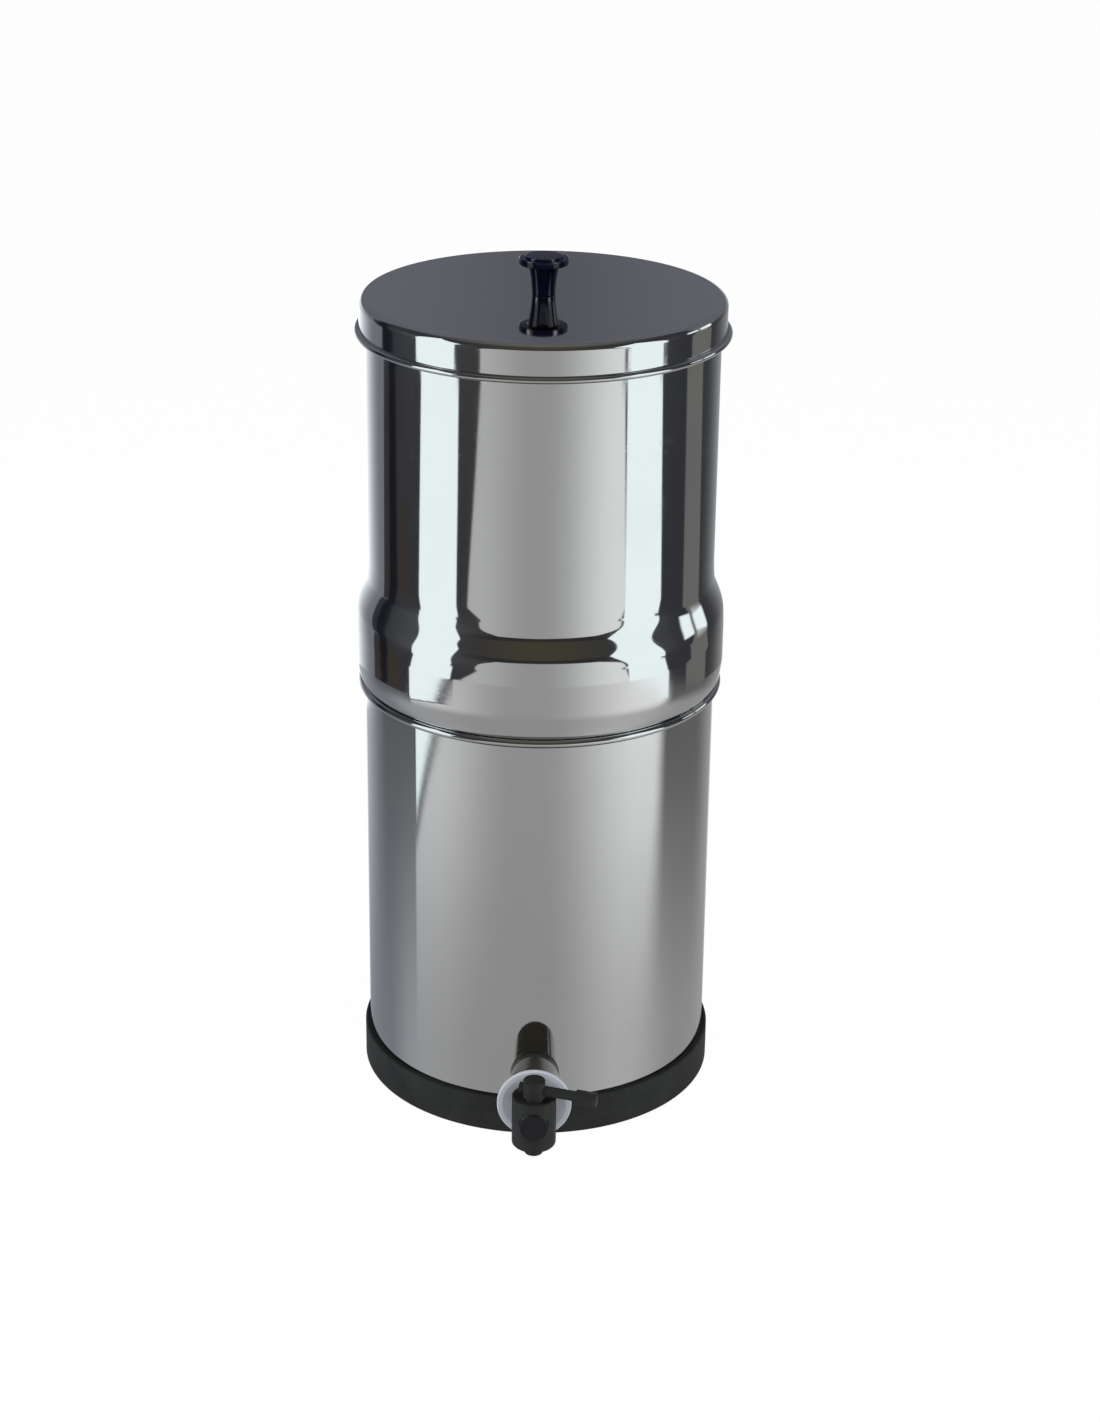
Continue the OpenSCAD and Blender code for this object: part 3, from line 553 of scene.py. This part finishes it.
def end_tree(board, geometry, finish_in):
    """Closes a tree: real geometry with a finish on it."""
    real = board.add("GeometryNodeRealizeInstances", {}, {"Geometry": geometry})
    coated = board.add("GeometryNodeSetMaterial", {}, {"Geometry": real, "Material": finish_in})
    board.add("NodeGroupOutput", {}, {0: coated})
    return board.tree


def turning_tree():
    """Turns the points of a mesh, taken as a closed cross-section, about the upright axis."""
    sizes = {"Steps": "Int", "Merge distance": "Float"}
    board, (section, steps, merge, finish_in) = begin_tree("turned_form", sizes)
    points = {"Geometry": section}
    count = board.add("GeometryNodeAttributeDomainSize", {}, points, out="Point Count")
    grid = board.add("GeometryNodeMeshGrid", {}, {"Vertices X": steps + 1, "Vertices Y": count + 1})
    index = board.add("GeometryNodeInputIndex")
    rows = count + 1
    column = board.math("FLOOR", (index + 0.5) / rows)
    row = board.math("MODULO", index - column * rows, count)
    place = board.add("GeometryNodeInputPosition")
    sample = {"data_type": "FLOAT_VECTOR"}
    wanted = {"Geometry": section, "Value": place, "Index": row}
    point = board.add("GeometryNodeSampleIndex", sample, wanted)
    radius, _, level = board.split(point)
    angle = board.math("MODULO", column, steps) * (2 * math.pi) / steps
    spot = board.add("ShaderNodeCombineXYZ", {}, {
        0: radius * board.math("COSINE", angle), 1: radius * board.math("SINE", angle), 2: level,
    })
    moved = board.add("GeometryNodeSetPosition", {}, {"Geometry": grid, "Position": spot})
    joined = board.add("GeometryNodeMergeByDistance", {}, {"Geometry": moved, "Distance": merge})
    return end_tree(board, joined, finish_in)


turned_form = turning_tree()
print("turning tree:", len(turned_form.nodes), "nodes")

# %% [markdown]
# The export needs plain meshes, so each tree is run once on a stand-in object and its result is
# kept. Leaving the modifier on the piece would be shorter, but then the piece could not be cut
# or joined to others afterwards. The tree's finish stays empty here, because `piece` gives each
# mesh its finish at the end, after the cuts.

# %% From a modifier to a plain mesh
def grown(source, tree, inputs):
    """The plain mesh that a tree makes from an object."""
    modifier = source.modifiers.new("tree", "NODES")
    modifier.node_group = tree
    names = socket_names(tree)
    for name, value in inputs.items():
        modifier[names[name]] = value
    bpy.context.view_layer.update()
    evaluated = source.evaluated_get(bpy.context.evaluated_depsgraph_get())
    mesh = bpy.data.meshes.new_from_object(evaluated)
    source.modifiers.remove(modifier)
    bpy.data.objects.remove(source)
    return mesh


def tidy(mesh, sharp_deg=38):
    """Merges doubles, points the faces outwards and shades them smooth up to an angle."""
    work = bmesh.new()
    work.from_mesh(mesh)
    bmesh.ops.remove_doubles(work, verts=work.verts, dist=1e-6)
    bmesh.ops.dissolve_degenerate(work, edges=work.edges, dist=1e-7)
    bmesh.ops.recalc_face_normals(work, faces=work.faces)
    work.to_mesh(mesh)
    work.free()
    mesh.shade_smooth()
    mesh.set_sharp_from_angle(angle=math.radians(sharp_deg))
    mesh.update()


def piece(name, mesh, body, slot_name, replaced=()):
    """Puts a finished mesh in the scene, on its body and in place of its CAD nodes."""
    made = bpy.data.objects.new(name, mesh)
    bpy.context.scene.collection.objects.link(made)
    made.data.materials.clear()
    made.data.materials.append(finishes[slot_name])
    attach(made, body)
    if replaced:
        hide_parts(*replaced)
    print(f"{name}: {len(mesh.polygons)} faces")
    return made


print("mesh tools ready")

# %% [markdown]
# ## Drawing cross-sections
# A cross-section is a list of (radius, height) points in millimetres. Curves could be drawn for
# it, but a list can be typed from the same measures as the CAD. `bow` lays the points of an arc,
# `beside` follows a path at the sheet's thickness, and `eased` adds points near the corners.

# %% Cross-sections
UPRIGHT = Matrix.Identity(4)
SHANK_HEIGHT = 40.5
MERGE = 1e-7


def on_shank(depth):
    """Turns a form made about Z so that it points along the tap, depth mm in front of the axis."""
    start = Matrix.Translation((0, -depth * MM, SHANK_HEIGHT * MM))
    return start @ Matrix.Rotation(math.radians(90), 4, "X")


def on_post(x, y):
    """Stands a form made about Z at a place on the upper floor."""
    return Matrix.Translation((x * MM, y * MM, 0))


def turned_mesh(section, steps, where=UPRIGHT):
    """The mesh of a closed cross-section, given as (radius, height) in millimetres."""
    profile = bpy.data.meshes.new("section")
    profile.from_pydata([(r * MM, 0, h * MM) for r, h in section], [], [])
    source = bpy.data.objects.new("section", profile)
    bpy.context.scene.collection.objects.link(source)
    mesh = grown(source, turned_form, {"Steps": steps, "Merge distance": MERGE})
    mesh.transform(where)
    tidy(mesh)
    return mesh


def bow(centre, radius, start, end, count=8, flatness=1.0):
    """Points of an arc in a cross-section, angles in degrees, squashed in height by flatness."""
    angles = [math.radians(start + (end - start) * i / count) for i in range(count + 1)]
    x, y = centre
    return [(x + radius * math.cos(a), y + flatness * radius * math.sin(a)) for a in angles]


def beside(path, gap):
    """The same path moved to its left by gap, mitred at its bends."""
    lefts = []
    for (x0, y0), (x1, y1) in zip(path[:-1], path[1:]):
        length = math.hypot(x1 - x0, y1 - y0)
        lefts.append(((y0 - y1) / length, (x1 - x0) / length))
    moved = []
    for i, (x, y) in enumerate(path):
        (ax, ay), (bx, by) = lefts[max(i - 1, 0)], lefts[min(i, len(lefts) - 1)]
        k = gap / (1 + ax * bx + ay * by)
        moved.append((x + k * (ax + bx), y + k * (ay + by)))
    return moved


def eased(path, near=0.35):
    """Adds points close to both ends of every long stretch, so that its shading stays flat."""
    points = []
    for (x0, y0), (x1, y1) in zip(path, path[1:] + path[:1]):
        points.append((x0, y0))
        length = math.hypot(x1 - x0, y1 - y0)
        if length > 5 * near:
            cuts = [near, *[length * k / 4 for k in (1, 2, 3) if length > 40], length - near]
            points += [(x0 + (x1 - x0) * c / length, y0 + (y1 - y0) * c / length) for c in cuts]
    return points


def pressed(path, gauge):
    """Closed cross-section of sheet metal of some gauge along a path."""
    return eased(path + beside(path, gauge)[::-1])


print("cross-section tools ready")

# %% [markdown]
# ## The three steel pressings
# Each is one sheet of 0.8 mm steel. A path follows one face of the sheet, `beside` gives the other
# one, and the two together are the cross-section. The rims are rolled into beads, so their
# paths curl round almost to the wall again.

# %% Lower chamber
GAUGE = 0.8
ROUNDS = 288
lower_path = (
    [(0, 3.05)]
    + bow((101, 9.05), 6, -90, 0, 12)
    + bow((108.7, 261.6), 1.7, 180, -130, 30)
)
lower_mesh = turned_mesh(pressed(lower_path, GAUGE), ROUNDS)

# %% Upper chamber
bulge, straight = 112.0, 105.0  # radii


def ease(level, low, high):
    """1 at low, 0 at high, along half a wave."""
    share = min(max((level - low) / (high - low), 0), 1)
    return (1 + math.cos(math.pi * share)) / 2


# The flare blends a short half wave with a long one, which softens its start and its end
flare_levels = [297.5 + k for k in range(45)]
widths = [0.6 * ease(z, 308.5, 330.5) + 0.4 * ease(z, 297.5, 341.5) for z in flare_levels]
flare = [(straight + (bulge - straight) * w, z) for w, z in zip(widths, flare_levels)]
foot = [
    (108.7 + 3.3 * math.cos(math.radians(a)), 281 + 16.6 * math.sin(math.radians(a)))
    for a in range(-90, 1, 3)
]
upper_path = (
    [(0, 249.8)]
    + bow((100.4, 253.8), 4, -90, 0, 10)
    + bow((105.6, 263.2), 1.2, 180, 90, 8)
    + foot
    + flare
    + bow((105.4, 497.9), 0.4, 180, -130, 16)
)
upper_mesh = turned_mesh(pressed(upper_path, GAUGE), ROUNDS)

# %% Lid
lid_path = (
    [(0, 501.0)]
    + bow((103.7, 496.5), 4.5, 90, 0, 14)
    + bow((109.25, 480.65), 1.05, 180, 490, 24)
)
lid_mesh = turned_mesh(pressed(lid_path, -GAUGE), ROUNDS)
print("pressings turned")

# %% [markdown]
# Holes come next: one in the lower wall for the tap's shank, four in the upper floor for the
# candles and blanking plugs, and one in the lid for the knob's screw. A Boolean cuts each with a
# plain turned punch. The washers that sit on the holes cover the cut edges.

# %% Punch the holes
SHANK_HOLE, POST_HOLE, SCREW_HOLE = 8.4, 6.4, 2.9
POST_AT = 46


def combined(mesh, others, operation):
    """Cuts other meshes out of one (DIFFERENCE) or joins them to it (UNION), exactly."""
    work = bpy.data.objects.new("work", mesh)
    bpy.context.scene.collection.objects.link(work)
    for other in others:
        tool = bpy.data.objects.new("tool", other)
        bpy.context.scene.collection.objects.link(tool)
        change = work.modifiers.new("change", "BOOLEAN")
        change.operation, change.solver, change.object = operation, "EXACT", tool
        bpy.context.view_layer.update()
        evaluated = work.evaluated_get(bpy.context.evaluated_depsgraph_get())
        result = bpy.data.meshes.new_from_object(evaluated)
        work.modifiers.remove(change)
        work.data = result
        bpy.data.objects.remove(tool)
    bpy.data.objects.remove(work)
    tidy(result)
    return result


def rod(radius, low, high, steps=64, where=UPRIGHT):
    """A plain turned rod, used as a punch."""
    return turned_mesh([(0, low), (radius, low), (radius, high), (0, high)], steps, where)


shank_punch = rod(SHANK_HOLE, 100, 112, 64, on_shank(0))
posts = [(POST_AT, 0), (0, POST_AT), (-POST_AT, 0), (0, -POST_AT)]
post_punches = [rod(POST_HOLE, 248, 252, 48, on_post(x, y)) for x, y in posts]
lower_mesh = combined(lower_mesh, [shank_punch], "DIFFERENCE")
upper_mesh = combined(upper_mesh, post_punches, "DIFFERENCE")
lid_mesh = combined(lid_mesh, [rod(SCREW_HOLE, 499, 502, 32)], "DIFFERENCE")
piece("lower_can", lower_mesh, "base", "lower_steel", ["lower_chamber"])
piece("upper_can", upper_mesh, "upper_vessel", "upper_steel", ["upper_chamber"])
piece("lid_pressing", lid_mesh, "lid_assembly", "lid_steel", ["lid"])

# %% [markdown]
# ## Foot ring
# The ring is moulded rubber: an upright wall with a shallow groove in its top edge, and a lip
# that carries the can. Its edges are softly rounded, which gives the light line at its top.

# %% Foot ring
ring_section = eased(
    [(96.1, 0)]
    + bow((109.1, 1), 1, -90, 0, 6)
    + bow((109.1, 22.6), 1, 0, 90, 8)
    + [(108.35, 23.6), (108.35, 22.7), (107.75, 22.7), (107.75, 23.6), (107.05, 23.6)]
    + bow((101, 9.05), 6.05, 0, -90, 10)
    + [(96.1, 3)]
)
piece("foot_ring", turned_mesh(ring_section, 256), "base", "ring_rubber", ["base_ring"])

# %% [markdown]
# ## Knob
# A spool with a hollowed neck and a wide flange, and a slightly raised disc let into its top.

# %% Knob and its disc
neck = [(6.85 + 2.25 * (k / 16) ** 1.7, 501 + 18 * k / 16) for k in range(17)]
knob_section = eased(
    [(2.55, 501)]
    + bow((6.45, 501.4), 0.4, -90, 0, 5)
    + neck[1:-1]
    + bow((9.6, 518.5), 0.5, 180, 90, 5)
    + bow((13.9, 519.6), 0.6, -90, 0, 6)
    + bow((13.9, 522.4), 0.6, 0, 90, 6)
    + bow((11.45, 522.8), 0.2, 90, 180, 3)
    + [(11.25, 521.45), (0, 521.45), (0, 513.05), (2.55, 513.05)]
)
piece("knob_spool", turned_mesh(knob_section, 128), "lid_assembly", "knob_black", ["knob"])
disc_section = eased(
    [(0, 521.5), (11.2, 521.5)]
    + bow((10.6, 523.5), 0.6, 0, 90, 8)
    + [(6, 524.17), (0, 524.2)]
)
piece("knob_disc", turned_mesh(disc_section, 96), "lid_assembly", "knob_black", ["knob_cap"])

# %% [markdown]
# The knob shows two thin bright streaks and is nearly black between them. Two strip lamps stand
# at the softboxes' bearings and light the knob alone, so the steel keeps its own reflections.

# %% Strip lamps for the knob
knob_pieces = bpy.data.collections.new("knob_pieces")
for name in ("knob_spool", "knob_disc"):
    knob_pieces.objects.link(bpy.data.objects[name])
strips = {"left_strip": -74, "right_strip": 58}
for name, bearing_deg in strips.items():
    strip = softbox(name, bearing_deg, 0.5, 0.78, 0.16, 0.5, 1.2)
    strip.visible_glossy = True
    strip.light_linking.receiver_collection = knob_pieces
print("strip lamps:", len(strips))

# %% [markdown]
# ## The tap's fixing
# From the wall outwards: a thin rubber ring, a tapered sleeve with a rounded lip, a gasket and a
# white washer with a cupped face. Inside the chamber a rubber washer and a nylon nut pull the
# whole stack tight. The wall ring and the inner washer follow the round wall, so their
# CAD solids stay as they are.

# %% Sleeve, gasket and cupped washer
sleeve_section = eased(
    [(SHANK_HOLE, 0)]
    + bow((14.2, 0.8), 0.8, -90, 78, 10)
    + bow((19.0, 29.3), 0.5, -10, 90, 5)
    + [(SHANK_HOLE, 29.8)]
)
sleeve = turned_mesh(sleeve_section, 128, on_shank(108.2))
piece("tapered_sleeve", sleeve, "base", "sleeve_black", ["tap_sleeve"])
gasket_section = eased(
    [(SHANK_HOLE, 0)]
    + bow((19.9, 0.4), 0.4, -90, 0, 4)
    + bow((19.9, 1.6), 0.4, 0, 90, 4)
    + [(SHANK_HOLE, 2)]
)
gasket = turned_mesh(gasket_section, 96, on_shank(138))
piece("gasket", gasket, "base", "washer_rubber", ["sleeve_gasket"])
cup_section = eased(
    [(SHANK_HOLE, 0)]
    + bow((21.5, 0.9), 0.9, -90, 0, 6)
    + bow((21.5, 2.3), 0.9, 0, 90, 6)
    + bow((19.6, 0.2), 3.0, 90, 106, 5)
    + bow((13.4, 4.6), 3.0, -74, -90, 5)
    + [(SHANK_HOLE, 1.6)]
)
cup_mesh = turned_mesh(cup_section, 128, on_shank(140))
piece("cupped_washer", cup_mesh, "base", "cup_white", ["cup_washer"])

# %% [markdown]
# ## The tap's barrel
# The barrel stands upright with an open well in its top and a short spout below. A shoulder and
# the threaded shank join it from behind. The solids are turned one by one and merged with
# Booleans, and the round recess for the front disc is cut last.

# %% Barrel
SPINDLE = 157.05  # from the filter's axis to the tap's upright one
SHANK_END = 91.2  # from the axis to the shank's inner end
on_barrel = Matrix.Translation((0, -SPINDLE * MM, 0))
barrel_section = eased(
    [(0, 16.2)]
    + bow((5.1, 16.6), 0.4, -90, 0, 5)
    + bow((5.9, 22.1), 0.4, 180, 90, 4)
    + bow((11.25, 24.5), 2, -90, 0, 10)
    + bow((12.75, 54.5), 0.5, 0, 90, 6)
    + bow((12.3, 54.6), 0.4, 90, 180, 4)
    + [(11.9, 51), (0, 51)]
)
shoulder = turned_mesh(eased([(0, 0), (11, 0), (11, 8.5), (0, 8.5)]), 96, on_shank(141.6))
shank_section = eased([(0, 0)] + bow((6.9, 0.6), 0.6, -90, 0, 4) + [(7.5, 59), (0, 59)])
shank = turned_mesh(shank_section, 64, on_shank(SHANK_END))
barrel = combined(turned_mesh(barrel_section, 128, on_barrel), [shoulder, shank], "UNION")
cavities = [
    rod(8.5, 46.9, 52, 64, on_barrel),
    rod(7.5, 27.7, 47.2, 64, on_barrel),
    rod(3.5, 15, 28, 48, on_barrel),
    rod(4, -1, 62, 48, on_shank(SHANK_END)),
    rod(8.95, 0, 8, 96, on_shank(166.37)),
]
barrel = combined(barrel, cavities, "DIFFERENCE")
piece("tap_barrel", barrel, "base", "tap_black", ["tap_body"])
face_section = eased(
    [(0, 0)]
    + bow((8.2, 0.4), 0.4, -90, 0, 4)
    + bow((7.9, 4.38), 0.7, 0, 90, 6)
    + [(0, 5.08)]
)
face = turned_mesh(face_section, 96, on_shank(166.42))
piece("front_face_disc", face, "base", "disc_black", ["front_disc"])
bonnet_section = eased(
    [(5.05, 47), (8.45, 47), (8.45, 51), (11.85, 51), (11.85, 52.3), (5.05, 52.3)]
)
piece("bonnet_ring", turned_mesh(bonnet_section, 96, on_barrel), "base", "tap_black", ["bonnet"])

# %% [markdown]
# ## Lever and spindle
# The spindle's head is a plain drum with a shallow dish in its top. The lever is a round bar
# that passes through it and ends in a small flat paddle with a framed panel on each side.

# %% Lever and spindle
REST = math.radians(-17.7)  # how far the photograph's lever is turned aside
on_spindle = on_barrel @ Matrix.Rotation(REST, 4, "Z")
spindle_section = eased(
    [(0, 27.9), (7.45, 27.9), (7.45, 46.8), (5, 46.8), (5, 54.5)]
    + bow((6.2, 54.9), 0.4, -90, 0, 4)
    + bow((6.1, 65.0), 0.5, 0, 90, 6)
    + bow((5.5, 65.2), 0.3, 90, 180, 4)
    + [(0, 65.1)]
)
spindle = turned_mesh(spindle_section, 96, on_spindle)
piece("spindle", spindle, "tap_handle", "tap_black", ["valve_plug"])


def paddle():
    """The lever's flat end: a rounded block with a sunk panel on each side."""
    work = bmesh.new()
    centre = Vector((32.2, 0, 58.6))
    bmesh.ops.create_cube(work, size=1.0)
    bmesh.ops.scale(work, vec=(13, 6.6, 7.6), verts=work.verts)
    for side in (-1, 1):
        work.faces.ensure_lookup_table()
        face = next(f for f in work.faces if f.normal.y * side > 0.9)
        bmesh.ops.inset_individual(work, faces=[face], thickness=1.1, depth=0)
        bmesh.ops.translate(work, verts=face.verts, vec=(0, -side * 0.4, 0))
    edges = list(work.edges)
    bmesh.ops.bevel(work, geom=edges, offset=0.35, segments=3, profile=0.5, affect="EDGES")
    bmesh.ops.translate(work, verts=work.verts, vec=centre)
    bmesh.ops.scale(work, vec=(MM, MM, MM), verts=work.verts)
    mesh = bpy.data.meshes.new("paddle")
    work.to_mesh(mesh)
    work.free()
    mesh.transform(on_spindle)
    return mesh


lever_tail = Matrix.Translation((-9.1 * MM, 0, 59.3 * MM))
along_lever = on_spindle @ lever_tail @ Matrix.Rotation(math.radians(90), 4, "Y")
bar_section = eased([(0, 0)] + bow((2.6, 0.5), 0.5, -90, 0, 5) + [(3.1, 40), (0, 40)])
lever_mesh = combined(turned_mesh(bar_section, 64, along_lever), [paddle()], "UNION")
piece("lever", lever_mesh, "tap_handle", "tap_black", ["tap_lever"])

# %% [markdown]
# In the photograph the wall mirrors the sleeve but not the tap in front of it. A ray switch on
# the gasket, the white washer, the tap's pieces and its two O-rings keeps them out of the
# mirror image. They could be lit or placed otherwise, but then the tap itself would change.

# %% Keep the tap out of the steel's sight
fixing = ["gasket", "cupped_washer"]
tap_pieces = ["tap_barrel", "front_face_disc", "bonnet_ring", "spindle", "lever"]
hidden = [bpy.data.objects[name] for name in fixing + tap_pieces]
hidden += [frame["nodes"][name] for name in ("upper_o_ring", "lower_o_ring")]
for unseen in hidden:
    unseen.visible_glossy = False
print("kept out of the mirror image:", len(hidden))

# %% [markdown]
# ## Candles and their mounts
# Two hollow ceramic shells with domed tops stand in plastic cups. Each cup's stem goes down
# through the floor and takes a wing nut from below.

# %% Candles
OUTER, INNER, DOME_FOOT = 25, 19, 410.1
OUTER_DOME, INNER_DOME = 20, 14  # how high the domes rise
SIDES = (("left", -POST_AT), ("right", POST_AT))
for side_name, x in SIDES:
    shell_section = eased(
        [(INNER, 265.1)]
        + bow((24.6, 265.5), 0.4, -90, 0, 4)
        + bow((0, DOME_FOOT), OUTER, 0, 90, 24, OUTER_DOME / OUTER)
        + bow((0, DOME_FOOT), INNER, 90, 0, 20, INNER_DOME / INNER)
    )
    shell = turned_mesh(shell_section, 128, on_post(x, 0))
    piece(f"{side_name}_candle_shell", shell, "upper_vessel", "ceramic", [f"{side_name}_candle"])
    cup = eased(
        [(2.5, 221.8)]
        + bow((5.1, 222.2), 0.4, -90, 0, 3)
        + [(5.5, 253.1)]
        + bow((24.75, 254.6), 1.5, -90, 0, 6)
        + bow((25.95, 264.8), 0.3, 0, 90, 3)
        + [(18.95, 265.1), (18.95, 271.1), (2.5, 271.1)]
    )
    mount = turned_mesh(cup, 128, on_post(x, 0))
    mount_node = f"{side_name}_candle_mount"
    piece(f"{side_name}_candle_cup", mount, "upper_vessel", "mount_plastic", [mount_node])

# %% [markdown]
# ## Threads
# A thread is a ridge that climbs round a core, which is a rule again: a spiral path with a small
# square section drawn along it, half of it sunk in the core. One tree makes the threads of the
# shank and of both stems.

# %% The thread tree
def thread_tree():
    """A ridge with a small square section that climbs round a core."""
    sizes = dict.fromkeys(("Radius", "Length", "Pitch", "Ridge"), "Float")
    board, inputs = begin_tree("screw_thread", sizes)
    radius, length, pitch, ridge, finish_in = inputs[1:]
    path = board.add("GeometryNodeCurveSpiral", {}, {
        "Resolution": 40, "Rotations": length / pitch, "Start Radius": radius, "End Radius": radius,
        "Height": length,
    })
    square = {"Resolution": 4, "Radius": ridge}
    ridge_section = board.add("GeometryNodeCurvePrimitiveCircle", {}, square)
    sweep = {"Curve": path, "Profile Curve": ridge_section, "Fill Caps": True}
    swept = board.add("GeometryNodeCurveToMesh", {}, sweep)
    return end_tree(board, swept, finish_in)


screw_thread = thread_tree()


def thread(name, core, length, where, body, slot_name, pitch=1.6):
    """A thread of some length on a core, whose ridges stand 0.45 mm proud of it."""
    source = bpy.data.objects.new("thread", bpy.data.meshes.new("thread"))
    bpy.context.scene.collection.objects.link(source)
    sizes = {"Radius": core + 0.02, "Length": length, "Pitch": pitch, "Ridge": 0.43}
    mesh = grown(source, screw_thread, {label: size * MM for label, size in sizes.items()})
    mesh.transform(where)
    tidy(mesh)
    piece(name, mesh, body, slot_name)


thread("shank_thread", 7.5, 11.0, on_shank(91.7), "base", "tap_black")
print("thread tree ready")

# %% Threads on the stems
for side_name, x in SIDES:
    stem_foot = on_post(x, 0) @ Matrix.Translation((0, 0, 222.8 * MM))
    thread(f"{side_name}_stem_thread", 5.5, 26.5, stem_foot, "upper_vessel", "mount_plastic")
